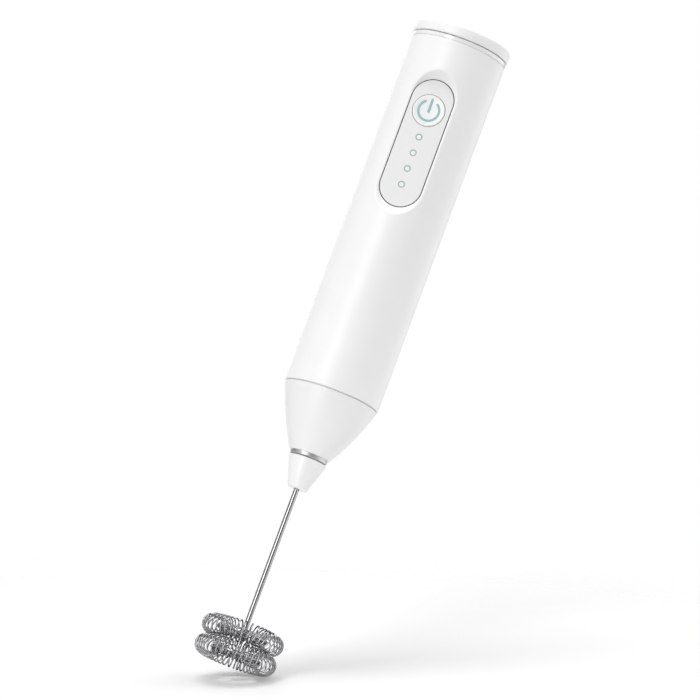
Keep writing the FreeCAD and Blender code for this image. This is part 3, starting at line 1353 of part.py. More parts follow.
doc.recompute()
broken = [item.Name for item in doc.Objects if "Invalid" in item.State or "Error" in item.State]
if broken:
    raise RuntimeError("did not build: " + ", ".join(broken))
os.makedirs("parts", exist_ok=True)
for item in nodes:
    if item.Shape.isNull() or not item.Shape.isValid():
        raise RuntimeError("bad shape: " + item.Label)
    item.Shape.exportStep("parts/" + item.Label + ".step")
    print("%-20s %9.1f mm3  %d solid(s)" % (item.Label, item.Shape.Volume, len(item.Shape.Solids)))
print(len(nodes), "sub-parts")
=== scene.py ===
"""The milk frother's looks: lathe-turned and wire-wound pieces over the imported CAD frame.

Sizes are in millimetres in the shape functions and turned into metres when a mesh is made.
"""
import bmesh
import bpy
import json
import math
from mathutils import Matrix, Vector


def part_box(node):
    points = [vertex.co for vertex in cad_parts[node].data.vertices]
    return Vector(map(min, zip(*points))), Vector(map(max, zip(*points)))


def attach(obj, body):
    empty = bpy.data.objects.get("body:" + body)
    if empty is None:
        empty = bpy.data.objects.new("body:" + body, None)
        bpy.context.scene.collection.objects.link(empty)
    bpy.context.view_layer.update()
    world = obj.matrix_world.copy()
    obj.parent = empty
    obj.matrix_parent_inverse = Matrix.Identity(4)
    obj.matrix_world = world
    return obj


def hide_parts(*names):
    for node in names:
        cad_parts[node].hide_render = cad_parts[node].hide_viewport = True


MM = 0.001
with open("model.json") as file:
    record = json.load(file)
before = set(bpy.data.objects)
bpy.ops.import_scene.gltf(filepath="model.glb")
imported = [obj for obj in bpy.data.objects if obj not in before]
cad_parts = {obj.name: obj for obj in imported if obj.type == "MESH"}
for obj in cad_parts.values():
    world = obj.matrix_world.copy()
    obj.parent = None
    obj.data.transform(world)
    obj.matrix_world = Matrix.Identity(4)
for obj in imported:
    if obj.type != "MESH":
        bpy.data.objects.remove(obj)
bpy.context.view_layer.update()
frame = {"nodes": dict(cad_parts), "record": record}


def mm_box(node):
    """A CAD node's lowest and highest corner in millimetres."""
    low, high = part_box(node)
    return low / MM, high / MM


# ------------------------------------------------------------------ materials

NOISE_LOW = 0.3     # nearly all of a noise texture's values lie between these two
NOISE_HIGH = 0.7


def new_material(name):
    """An empty node material with its Principled shader, and a helper that adds nodes."""
    mat = bpy.data.materials.new(name)
    mat.use_nodes = True
    tree = mat.node_tree
    shader = tree.nodes["Principled BSDF"]

    def add(kind, inputs=None, **settings):
        node = tree.nodes.new(kind)
        for key, value in settings.items():
            setattr(node, key, value)
        for key, value in (inputs or {}).items():
            if isinstance(value, bpy.types.NodeSocket):
                tree.links.new(value, node.inputs[key])
            else:
                node.inputs[key].default_value = value
        return node

    return mat, tree, shader, add


def grain(add, scale, detail=4.0, stretch=(1, 1, 1), rough=0.55):
    """Noise in the piece's own space; scale is in waves per metre."""
    place = add("ShaderNodeTexCoord")
    mapping = add("ShaderNodeMapping", {"Vector": place.outputs["Object"], "Scale": stretch})
    return add("ShaderNodeTexNoise", {
        "Vector": mapping.outputs["Vector"], "Scale": scale, "Detail": detail, "Roughness": rough})


def span(add, source, low, high):
    """Bring a 0 to 1 value into a range."""
    mapped = add("ShaderNodeMapRange", {
        "Value": source, "From Min": NOISE_LOW, "From Max": NOISE_HIGH,
        "To Min": low, "To Max": high})
    return mapped.outputs["Result"]


# The colour sockets of a Mix node by number, because several of its sockets share a name.
MIX_FACTOR = 0
MIX_A = 6
MIX_B = 7
MIX_COLOUR = 2


def tinted(add, source, low, high):
    """A colour that drifts between two tints."""
    mix = add("ShaderNodeMix", data_type="RGBA", clamp_factor=True)
    ramp = span(add, source, 0.0, 1.0)
    mix.id_data.links.new(ramp, mix.inputs[MIX_FACTOR])
    mix.inputs[MIX_A].default_value = (*low, 1)
    mix.inputs[MIX_B].default_value = (*high, 1)
    return mix.outputs[MIX_COLOUR]


def near(colour, amount):
    """A slightly darker and a slightly lighter tint of a colour."""
    return ([channel * (1 - amount) for channel in colour],
            [min(1, channel * (1 + amount)) for channel in colour])


def plastic(name, colour, rough=0.35, drift=0.012, pebble=0.004, pebble_scale=5200.0, wave=0.02,
            coat=0.0, coat_rough=0.1, subsurface=0.0, specular=0.5):
    """Moulded plastic: fine pebble from the tool, a faint sink-mark waviness and handling haze.

    The pebble and the wave are heights in millimetres.
    """
    mat, tree, shader, add = new_material(name)
    drift_noise = grain(add, 60.0, 2.0)
    haze_noise = grain(add, 240.0, 5.0, stretch=(1, 1, 0.4))
    low, high = near(colour, drift)
    tree.links.new(tinted(add, drift_noise.outputs["Fac"], low, high), shader.inputs["Base Color"])
    tree.links.new(span(add, haze_noise.outputs["Fac"], rough - 0.035, rough + 0.045),
                   shader.inputs["Roughness"])
    pebble_noise = grain(add, pebble_scale, 3.0)
    fine = add("ShaderNodeBump", {"Height": pebble_noise.outputs["Fac"], "Strength": 0.35,
                                  "Distance": pebble * MM})
    sink = grain(add, 45.0, 1.0, stretch=(1, 1, 0.35))
    broad = add("ShaderNodeBump", {"Height": sink.outputs["Fac"], "Strength": 0.5,
                                   "Distance": wave * MM, "Normal": fine.outputs["Normal"]})
    tree.links.new(broad.outputs["Normal"], shader.inputs["Normal"])
    shader.inputs["Specular IOR Level"].default_value = specular
    shader.inputs["Coat Weight"].default_value = coat
    shader.inputs["Coat Roughness"].default_value = coat_rough
    if subsurface:
        shader.inputs["Subsurface Weight"].default_value = subsurface
        shader.inputs["Subsurface Radius"].default_value = (1.0, 0.9, 0.8)
        shader.inputs["Subsurface Scale"].default_value = 0.8 * MM
    return mat


def metal(name, colour, rough=0.2, lines=(1, 1, 1), line_scale=2500.0, depth=0.002, drift=0.03,
          rim=0.6):
    """Bare metal: fine tool lines along or round the piece, and faint tarnish.

    The depth of the lines is in millimetres. A low rim keeps grazing reflections grey.
    """
    mat, tree, shader, add = new_material(name)
    stain = grain(add, 400.0, 3.0)
    low, high = near(colour, drift)
    tree.links.new(tinted(add, stain.outputs["Fac"], low, high), shader.inputs["Base Color"])
    cut = grain(add, line_scale, 4.0, stretch=lines)
    tree.links.new(span(add, cut.outputs["Fac"], rough - 0.05, rough + 0.07),
                   shader.inputs["Roughness"])
    bump = add("ShaderNodeBump", {"Height": cut.outputs["Fac"], "Strength": 0.4,
                                  "Distance": depth * MM})
    tree.links.new(bump.outputs["Normal"], shader.inputs["Normal"])
    shader.inputs["Metallic"].default_value = 1.0
    shader.inputs["Specular Tint"].default_value = (rim, rim, rim, 1)
    return mat


def rubber(name, colour, rough=0.6):
    """Moulded rubber or silicone with a dusty bloom."""
    return plastic(name, colour, rough=rough, drift=0.12, pebble=0.01, pebble_scale=3600.0,
                   specular=0.35)


def circuit(name, colour):
    """Solder mask over copper tracks: a fine maze of slightly raised, lighter lines."""
    mat, tree, shader, add = new_material(name)
    place = add("ShaderNodeTexCoord")
    maze = add("ShaderNodeTexVoronoi", {
        "Vector": place.outputs["Object"], "Scale": 420.0, "Randomness": 0.55},
        feature="DISTANCE_TO_EDGE", distance="EUCLIDEAN")
    track = add("ShaderNodeMapRange", {
        "Value": maze.outputs["Distance"], "From Min": 0.05, "From Max": 0.09})
    mix = add("ShaderNodeMix", data_type="RGBA")
    tree.links.new(track.outputs["Result"], mix.inputs[MIX_FACTOR])
    mix.inputs[MIX_A].default_value = (*[min(1, channel * 1.8 + 0.02) for channel in colour], 1)
    mix.inputs[MIX_B].default_value = (*colour, 1)
    tree.links.new(mix.outputs[MIX_COLOUR], shader.inputs["Base Color"])
    bump = add("ShaderNodeBump", {"Height": track.outputs["Result"], "Strength": 0.5,
                                  "Distance": 0.03 * MM}, invert=True)
    tree.links.new(bump.outputs["Normal"], shader.inputs["Normal"])
    shader.inputs["Roughness"].default_value = 0.28
    return mat


WHITE = (0.87, 0.87, 0.87)
shell_white = plastic("satin_white_shell", WHITE, rough=0.42, coat=0.12, coat_rough=0.3)
cone_white = plastic("satin_white_cone", WHITE, rough=0.40, coat=0.12, coat_rough=0.28)
cap_white = plastic("satin_white_cap", WHITE, rough=0.40, coat=0.12, coat_rough=0.28)
hub_white = plastic("satin_white_hub", (0.88, 0.88, 0.88), rough=0.36, coat=0.15, coat_rough=0.2)
trim_gloss = plastic("polished_white_trim", (0.86, 0.86, 0.86), rough=0.12, pebble=0.0006,
                     wave=0.01, coat=0.8, coat_rough=0.04)
panel_matte = plastic("fine_matte_panel", (0.79, 0.79, 0.79), rough=0.5, pebble=0.008,
                      pebble_scale=7000.0)
button_white = plastic("satin_white_button", (0.83, 0.83, 0.83), rough=0.34, coat=0.2,
                       coat_rough=0.15)
symbol_teal = plastic("pale_teal_inlay", (0.28, 0.47, 0.51), rough=0.3, coat=0.3, coat_rough=0.1,
                      drift=0.03)
ring_teal = plastic("grey_teal_ring", (0.34, 0.42, 0.43), rough=0.35, drift=0.04)
guide_clear = plastic("milky_light_guide", (0.85, 0.88, 0.88), rough=0.2, coat=0.6, coat_rough=0.05,
                      subsurface=0.3)
inner_plastic = plastic("unpolished_inner_plastic", (0.58, 0.58, 0.56), rough=0.5, pebble=0.02,
                        pebble_scale=2600.0, drift=0.03)
bell_nylon = plastic("natural_nylon", (0.68, 0.65, 0.55), rough=0.45, drift=0.03, subsurface=0.1)
black_plastic = plastic("black_moulding", (0.015, 0.015, 0.016), rough=0.4, drift=0.2)
chip_black = plastic("chip_moulding", (0.02, 0.02, 0.022), rough=0.55, pebble=0.012,
                     pebble_scale=9000.0, drift=0.15)
plunger_brown = plastic("brown_plunger", (0.07, 0.03, 0.015), rough=0.4, drift=0.08)
led_lens = plastic("led_lens", (0.78, 0.70, 0.40), rough=0.18, coat=0.7, coat_rough=0.05,
                   drift=0.05)
ceramic_tan = plastic("ceramic_passive", (0.22, 0.14, 0.07), rough=0.45, drift=0.1)
cell_sleeve = plastic("shrunk_cell_sleeve", (0.02, 0.07, 0.25), rough=0.25, wave=0.06, coat=0.5,
                      coat_rough=0.1, drift=0.06)
ferrite = plastic("ferrite", (0.03, 0.03, 0.032), rough=0.65, pebble=0.02, drift=0.15)
carbon = plastic("carbon_brush", (0.012, 0.012, 0.012), rough=0.5, pebble=0.02, drift=0.2)
black_rubber = rubber("black_rubber", (0.018, 0.018, 0.019))
seal_rubber = rubber("white_silicone", (0.62, 0.62, 0.62), rough=0.5)
red_lead = rubber("red_lead", (0.35, 0.01, 0.01), rough=0.45)
black_lead = rubber("black_lead", (0.015, 0.015, 0.016), rough=0.45)
turned_steel = metal("turned_stainless", (0.64, 0.64, 0.65), rough=0.42, lines=(0.15, 0.15, 3.0))
wire_steel = metal("drawn_wire", (0.45, 0.45, 0.46), rough=0.13, lines=(2.0, 2.0, 0.08), rim=0.15)
coil_steel = metal("bright_coil_wire", (0.43, 0.43, 0.44), rough=0.08, line_scale=4000.0,
                   depth=0.0004, rim=0.0)
ground_steel = metal("ground_shaft", (0.50, 0.50, 0.51), rough=0.22, lines=(0.15, 0.15, 3.0))
screw_zinc = metal("zinc_screw", (0.46, 0.47, 0.49), rough=0.3)
can_steel = metal("plated_motor_can", (0.45, 0.45, 0.47), rough=0.33, lines=(1, 1, 0.1))
laminations = metal("stacked_laminations", (0.16, 0.16, 0.17), rough=0.5, lines=(0.05, 0.05, 4.0),
                    line_scale=1800.0, depth=0.02)
usb_nickel = metal("nickel_shell", (0.58, 0.57, 0.55), rough=0.25, lines=(1, 1, 0.1))
nickel_strip = metal("nickel_strip", (0.55, 0.53, 0.48), rough=0.35)
bronze = metal("sintered_bronze", (0.42, 0.25, 0.10), rough=0.45, depth=0.01, drift=0.12)
brass_plate = metal("plated_brass", (0.60, 0.43, 0.16), rough=0.28)
copper_wire = metal("enamelled_copper", (0.55, 0.22, 0.09), rough=0.3, lines=(1, 1, 6.0),
                    line_scale=900.0, depth=0.03, drift=0.1)
solder_mask = circuit("solder_mask", (0.01, 0.09, 0.04))

FINISHES = {
    "shell_white": shell_white, "cone_white": cone_white, "cap_white": cap_white,
    "hub_white": hub_white, "trim_white": trim_gloss, "panel_grey": panel_matte,
    "button_white": button_white,
    "symbol_teal": symbol_teal, "ring_teal": ring_teal, "light_guide": guide_clear,
    "stainless": turned_steel, "wire_steel": wire_steel, "coil_steel": coil_steel,
    "shaft_steel": ground_steel, "screw_steel": screw_zinc, "motor_steel": can_steel,
    "core_steel": laminations, "usb_steel": usb_nickel, "nickel": nickel_strip, "bronze": bronze,
    "brass": brass_plate, "copper": copper_wire, "carbon": carbon, "ferrite": ferrite,
    "black_rubber": black_rubber, "white_silicone": seal_rubber, "inner_plastic": inner_plastic,
    "bell_plastic": bell_nylon, "black_plastic": black_plastic, "chip_black": chip_black,
    "passive_tan": ceramic_tan, "plunger_brown": plunger_brown, "led_white": led_lens,
    "board_green": solder_mask, "cell_wrap": cell_sleeve, "lead_red": red_lead,
    "lead_black": black_lead,
}

record = frame["record"]
slot_of = {part["node"]: part["material_slot"] for part in record["subparts"]}
body_of = {node: body for body, nodes in record["behaviour"]["bodies"].items() for node in nodes}
for node, shown in frame["nodes"].items():
    for material_slot in shown.material_slots:
        material_slot.material = FINISHES[slot_of[node]]


# ------------------------------------------------------------------ shape helpers

def as_piece(item, node):
    """Let a made piece stand for a CAD node, on that node's body and with its finish."""
    item.data.materials.clear()
    item.data.materials.append(FINISHES[slot_of[node]])
    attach(item, body_of[node])
    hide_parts(node)


CREASE = math.radians(32)


def object_from(bm, name):
    """A mesh object from millimetre mesh code, smooth-shaded except across creases."""
    bmesh.ops.recalc_face_normals(bm, faces=bm.faces)
    bmesh.ops.scale(bm, vec=(MM, MM, MM), verts=bm.verts)
    for face in bm.faces:
        face.smooth = True
    for edge in bm.edges:
        edge.smooth = edge.calc_face_angle(math.pi) < CREASE
    mesh = bpy.data.meshes.new(name)
    bm.to_mesh(mesh)
    bm.free()
    item = bpy.data.objects.new(name, mesh)
    bpy.context.scene.collection.objects.link(item)
    return item


def circle(bm, radius, height, segments):
    """A ring of vertices about the Z axis."""
    return [bm.verts.new((radius * math.cos(math.tau * index / segments),
                          radius * math.sin(math.tau * index / segments), height))
            for index in range(segments)]


def stitch(bm, ring, after):
    """Join two rings of as many vertices with a band of quads."""
    count = len(ring)
    for step in range(count):
        ahead = (step + 1) % count
        bm.faces.new((ring[step], ring[ahead], after[ahead], after[step]))


MOST_OF_HALF = 0.49     # the share of an edge that one corner's rounding may take


def eased(profile, steps=5):
    """Round a closed profile's corners. A point is (radius, height, corner radius)."""
    made = []
    count = len(profile)
    for index, (radius, height, bend) in enumerate(profile):
        here = Vector((radius, height))
        if bend <= 0:
            made.append(here)
            continue
        before = Vector(profile[index - 1][:2]) - here
        after = Vector(profile[(index + 1) % count][:2]) - here
        half = before.angle(after) / 2
        reach = min(bend / math.tan(half), before.length * MOST_OF_HALF,
                    after.length * MOST_OF_HALF)
        size = reach * math.tan(half)
        inward = (before.normalized() + after.normalized()).normalized()
        centre = here + inward * (size / math.sin(half))
        first = here + before.normalized() * reach - centre
        last = here + after.normalized() * reach - centre
        sweep = first.angle_signed(last)
        for step in range(steps + 1):
            turn = Matrix.Rotation(-sweep * step / steps, 2)
            made.append(centre + turn @ first)
    return made


def bowed(start, end, radius, steps=24):
    """Points strictly between two ends on an arc that bulges away from the axis."""
    a = Vector(start)
    b = Vector(end)
    chord = b - a
    out = Vector((chord.y, -chord.x)).normalized()
    drop = math.sqrt(radius * radius - chord.length_squared / 4)
    centre = (a + b) / 2 - out * drop
    first = a - centre
    sweep = first.angle_signed(b - centre)
    made = []
    for step in range(1, steps):
        turn = Matrix.Rotation(-sweep * step / steps, 2)
        spot = centre + turn @ first
        made.append((spot.x, spot.y, 0))
    return made


AXIS_REACH = 1e-4       # a profile point nearer to the axis than this is on it


def lathe(name, profile, segments):
    """Turn a closed profile about the Z axis."""
    bm = bmesh.new()
    rings = []
    for spot in eased(profile):
        if spot.x < AXIS_REACH:
            rings.append([bm.verts.new((0, 0, spot.y))])
        else:
            rings.append(circle(bm, spot.x, spot.y, segments))
    for index, ring in enumerate(rings):
        after = rings[(index + 1) % len(rings)]
        if len(ring) == 1 and len(after) == 1:
            continue
        if len(ring) == len(after):
            stitch(bm, ring, after)
            continue
        for step in range(segments):
            ahead = (step + 1) % segments
            if len(ring) == 1:
                bm.faces.new((ring[0], after[step], after[ahead]))
            else:
                bm.faces.new((ring[step], ring[ahead], after[0]))
    return object_from(bm, name)


def endless_wire(name, points, radius):
    """A round wire in a closed loop along points in millimetres."""
    curve = bpy.data.curves.new(name, "CURVE")
    curve.dimensions = "3D"
    curve.bevel_depth = radius * MM
    curve.bevel_resolution = 5
    line = curve.splines.new("POLY")
    line.points.add(len(points) - 1)
    for index, spot in enumerate(points):
        line.points[index].co = (spot[0] * MM, spot[1] * MM, spot[2] * MM, 1)
    line.use_cyclic_u = True
    line.use_smooth = True
    item = bpy.data.objects.new(name, curve)
    bpy.context.scene.collection.objects.link(item)
    return item


# ------------------------------------------------------------------ turned outer pieces
# Profile points are (radius, height, corner radius).

FINE = 224              # segments round a piece of the handle's size
MIDDLING = 144          # and round one of the button's or the hub's
SLIM = 48               # and round one of the whisk shaft's
NOSE_ROUND = 160        # and round the nose ring

CONE_TIP = 6.95
CONE_TOP = 16.2
CONE_BULGE = 94.0
SEAM_HEIGHT = 0.3
SEAM_FLOOR = 15.4
SPIGOT = 14.45
SPIGOT_BORE = 12.95
SPIGOT_BORE_DROP = 2
CONE_FLOOR = 8.0
CONE_FLOOR_RISE = 10.1
BUSH_SEAT = 3.6
RING_SEAT = 4.3
RING_SEAT_DEEP = 1.5

low, high = mm_box("nose_cone")
cone_base = low.z
spigot_top = high.z
seam_top = mm_box("main_housing")[0].z
seam_base = seam_top - SEAM_HEIGHT
cone_floor = cone_base + CONE_FLOOR_RISE
as_piece(lathe("cone_skin", [
    (RING_SEAT, cone_base, 0.05), (CONE_TIP, cone_base, 0.25),
    *bowed((CONE_TIP, cone_base), (CONE_TOP, seam_base), CONE_BULGE),
    (CONE_TOP, seam_base, 0.25), (SEAM_FLOOR, seam_base, 0.05), (SEAM_FLOOR, seam_top, 0.02),
    (SPIGOT, seam_top, 0.05), (SPIGOT, spigot_top, 0.3), (SPIGOT_BORE, spigot_top, 0.3),
    (SPIGOT_BORE, seam_top - SPIGOT_BORE_DROP, 0.6), (CONE_FLOOR, cone_floor, 0.6),
    (BUSH_SEAT, cone_floor, 0.15), (BUSH_SEAT, cone_base + RING_SEAT_DEEP, 0.05),
    (RING_SEAT, cone_base + RING_SEAT_DEEP, 0.05)], FINE), "nose_cone")

RING_BORE = 2.45
RING_SPIGOT = 4.25
BEVEL_IN = 0.5
BEVEL_UP = 0.28
GROOVE_DEEP = 0.06
GROOVE_LOW = 0.62       # the fine turned groove's edges, and its floor's, above the ring's foot
GROOVE_FLOOR_LOW = 0.68
GROOVE_FLOOR_HIGH = 0.76
GROOVE_HIGH = 0.82

low, high = mm_box("nose_ring")
groove = high.x - GROOVE_DEEP
as_piece(lathe("turned_nose_ring", [
    (RING_BORE, low.z, 0.1), (high.x - BEVEL_IN, low.z, 0.12), (high.x, low.z + BEVEL_UP, 0.2),
    (high.x, low.z + GROOVE_LOW, 0.02), (groove, low.z + GROOVE_FLOOR_LOW, 0.02),
    (groove, low.z + GROOVE_FLOOR_HIGH, 0.02), (high.x, low.z + GROOVE_HIGH, 0.02),
    (high.x, cone_base, 0.05), (RING_SPIGOT, cone_base, 0.05), (RING_SPIGOT, high.z, 0.15),
    (RING_BORE, high.z, 0.1)], NOSE_ROUND), "nose_ring")

SHAFT = 0.9
SHAFT_HELD = 4.4
HUB_TIP = 3.3
HUB_TOP = 6.75
POCKET = 2.8
POCKET_DEEP = 1.2
SOCKET_MOUTH = 2.0
SOCKET_FLAT = 1.7
SOCKET_DEEP = 5.0


def hub_shell():
    """The whisk hub with its shaft hole below, and the seal's step and hexagon socket above."""
    low, high = mm_box("whisk_hub")
    bm = bmesh.new()
    outside = eased([
        (SHAFT, low.z + SHAFT_HELD, 0), (SHAFT, low.z, 0.12), (HUB_TIP, low.z, 0.4),
        (HUB_TOP, high.z, 0.5), (POCKET, high.z, 0.15), (POCKET, high.z - POCKET_DEEP, 0.08),
        (SOCKET_MOUTH, high.z - POCKET_DEEP, 0)])
    rings = [circle(bm, spot.x, spot.y, MIDDLING) for spot in outside]
    for depth in (POCKET_DEEP, SOCKET_DEEP):
        hexagon = []
        for index in range(MIDDLING):
            angle = math.tau * index / MIDDLING
            wedge = (angle % (math.pi / 3)) - math.pi / 6
            reach = SOCKET_FLAT / math.cos(wedge)
            hexagon.append(bm.verts.new((reach * math.cos(angle), reach * math.sin(angle),
                                         high.z - depth)))
        rings.append(hexagon)
    for ring, after in zip(rings, rings[1:]):
        stitch(bm, ring, after)
    bm.faces.new(rings[-1])
    bm.faces.new(rings[0])
    return object_from(bm, "hub_skin")


as_piece(hub_shell(), "whisk_hub")

TRIM_BORE = 14.0
TRIM_SPIGOT = 14.45
TRIM_GROOVE = 16.15
TRIM_GROOVE_TOP = 0.15
TRIM_EDGE = 0.2

low, high = mm_box("trim_ring")
body_top = mm_box("main_housing")[1].z
trim_top = high.z
as_piece(lathe("polished_trim_ring", [
    (TRIM_BORE, low.z, 0.2), (TRIM_SPIGOT, low.z, 0.15), (TRIM_SPIGOT, body_top, 0.02),
    (TRIM_GROOVE, body_top, 0.02), (TRIM_GROOVE, body_top + TRIM_GROOVE_TOP, 0.02),
    (high.x, body_top + TRIM_EDGE, 0.35), (high.x, trim_top, 0.4), (TRIM_BORE, trim_top, 0.25)],
    FINE), "trim_ring")

PLUG = 13.4
PLUG_BORE = 12.2
SEAL_GROOVE = 13.0
SEAL_GROOVE_LOW = 0.8
SEAL_GROOVE_HIGH = 1.8
CAP_GAP = 0.2
CAP_ROOF = 2.7
CAP_MIDDLE = 9.0

low, high = mm_box("top_cap")
cap_base = trim_top + CAP_GAP
groove_low = low.z + SEAL_GROOVE_LOW
groove_high = low.z + SEAL_GROOVE_HIGH
as_piece(lathe("cap_skin", [
    (PLUG_BORE, low.z, 0.25), (PLUG, low.z, 0.4), (PLUG, groove_low, 0.08),
    (SEAL_GROOVE, groove_low, 0.02), (SEAL_GROOVE, groove_high, 0.02), (PLUG, groove_high, 0.08),
    (PLUG, cap_base, 0.05), (high.x, cap_base, 0.3), (high.x, high.z, 1.0),
    (CAP_MIDDLE, high.z, 0), (0, high.z, 0), (0, high.z - CAP_ROOF, 0),
    (PLUG_BORE, high.z - CAP_ROOF, 0.4)], FINE), "top_cap")

# ------------------------------------------------------------------ power button

STEM = 1.5
FLANGE = 6.0
FLANGE_LOW = 0.25
FLANGE_HIGH = 0.95
BUTTON = 5.43
DISH = ((5.0, 0.0, 0.2), (4.2, 0.07, 0), (3.0, 0.13, 0), (1.6, 0.17, 0), (0, 0.18, 0))

low, high = mm_box("power_button")
face = -low.y
back = -high.y
PANEL_FACING = (Matrix.Translation((0, 0, (low.z + high.z) / 2 * MM))
                @ Matrix.Rotation(math.pi / 2, 4, "X"))


def on_panel(item):
    """Bake a piece built on its own +Z into its place on the panel."""
    item.data.transform(PANEL_FACING)
    return item


# The face is a shallow dish: each of its points is (radius, depth below the rim, corner radius).
as_piece(on_panel(lathe("button_skin", [
    (0, back, 0), (STEM, back, 0.2), (STEM, back + FLANGE_LOW, 0.05),
    (FLANGE, back + FLANGE_LOW, 0.15), (FLANGE, back + FLANGE_HIGH, 0.1),
    (BUTTON, back + FLANGE_HIGH, 0.05), (BUTTON, face, 0.3),
    *[(radius, face - drop, bend) for radius, drop, bend in DISH]], MIDDLING)), "power_button")


def ribbon(points, half_width):
    """The outline of a round-ended stroke of even width along points."""
    steps = 10
    left = []
    right = []
    for index, spot in enumerate(points):
        before = points[max(index - 1, 0)]
        after = points[min(index + 1, len(points) - 1)]
        along = (after - before).normalized()
        side = Vector((-along.y, along.x))
        left.append(spot + side * half_width)
        right.append(spot - side * half_width)

    def end_cap(centre, start):
        return [centre + Matrix.Rotation(-math.pi * step / steps, 2) @ start
                for step in range(1, steps)]

    far = end_cap(points[-1], left[-1] - points[-1])
    close = end_cap(points[0], right[0] - points[0])
    return left + far + right[::-1] + close


def inlay(name, strokes, low_height, high_height):
    """Raised round-ended strokes with softened upper edges."""
    ease = 0.06
    bm = bmesh.new()
    for points, half_width in strokes:
        lower = ribbon(points, half_width)
        upper = ribbon(points, half_width - ease)
        rings = []
        for outline, height in ((lower, low_height), (lower, high_height - ease),
                                (upper, high_height)):
            rings.append([bm.verts.new((spot.x, spot.y, height)) for spot in outline])
        for ring, after in zip(rings, rings[1:]):
            stitch(bm, ring, after)
        bm.faces.new(rings[0])
        bm.faces.new(rings[-1])
    return object_from(bm, name)


SYMBOL = 3.5
SYMBOL_GAP = math.radians(37)
SYMBOL_STEPS = 72
SYMBOL_DEEP = 0.25
SYMBOL_SUNK = 0.02
RING_STROKE = 0.40      # half widths of the two strokes
TICK_STROKE = 0.42

open_ring = []
for step in range(SYMBOL_STEPS + 1):
    angle = SYMBOL_GAP + (math.tau - 2 * SYMBOL_GAP) * step / SYMBOL_STEPS
    open_ring.append(Vector((SYMBOL * math.sin(angle), SYMBOL * math.cos(angle))))
tick = [Vector((0, -0.3)), Vector((0, 1.8)), Vector((0, 3.95))]
as_piece(on_panel(inlay("power_mark", [(open_ring, RING_STROKE), (tick, TICK_STROKE)],
                        face - SYMBOL_DEEP, face - SYMBOL_SUNK)), "power_symbol")

# ------------------------------------------------------------------ whisk

low, high = mm_box("whisk_shaft")
as_piece(lathe("shaft_rod", [
    (0, low.z, 0), (SHAFT, low.z, 0.2), (SHAFT, high.z, 0.1), (0, high.z, 0)], SLIM),
    "whisk_shaft")

TURNS = 42
POINTS_PER_TURN = 28
RING = 10.75            # radius of the circle that a coil's turns follow
TUBE = 3.19             # radius of a turn
WIRE = 0.25             # radius of the wire
CROWDING = (0.022, 0.012)
LEANING = 0.035
TURN_SWELL = 0.008
RING_SWELL = 0.03
UPPER_PHASE = 0.4       # start of the unevenness, so that the two coils differ
LOWER_PHASE = 2.3


def coil_points(height, phase):
    """An endless ring coil whose turns lean and crowd a little, as a sprung wire's do."""
    made = []
    for index in range(TURNS * POINTS_PER_TURN):
        turn = index / POINTS_PER_TURN
        swing = math.tau * turn
        round_ring = math.tau * turn / TURNS
        crowd = (CROWDING[0] * math.sin(5 * round_ring + phase)
                 + CROWDING[1] * math.sin(11 * round_ring + 2.1 * phase))
        lean = LEANING * math.sin(3 * round_ring + 1.7 * phase) * math.sin(swing)
        angle = round_ring + crowd + lean
        tube = TUBE * (1 + TURN_SWELL * math.sin(4 * round_ring + phase))
        ring = RING + RING_SWELL * math.sin(2 * round_ring + phase)
        reach = ring - tube * math.cos(swing)
        made.append((reach * math.cos(angle), reach * math.sin(angle),
                     height - tube * math.sin(swing)))
    return made


def ring_middle(node):
    """The height of the middle of a coil or of a ring frame."""
    low, high = mm_box(node)
    return (low.z + high.z) / 2


for side, phase in (("upper", UPPER_PHASE), ("lower", LOWER_PHASE)):
    points = coil_points(ring_middle(side + "_coil"), phase)
    as_piece(endless_wire(side + "_coil_wire", points, WIRE), side + "_coil")

LOOP = 8.35             # radius of the ring wire's circle
LOOP_WIRE = 0.5
LOOP_STEPS = 120
LOOP_SIDES = 16
SPOKES = 3
SPOKE_SIDES = 20
# A spoke's (distance from the axis, radius): it swells into its welds at both ends.
SPOKE = ((1.5, 0.55), (1.9, 0.42), (2.1, 0.32), (2.5, 0.26), (4.0, 0.25), (6.0, 0.25),
         (7.3, 0.25), (7.7, 0.28), (7.95, 0.34), (8.3, 0.4))
COLLAR = 1.8
COLLAR_HALF = 0.9
UPRIGHT = 0.9           # a run steeper than this needs another way up for its sides


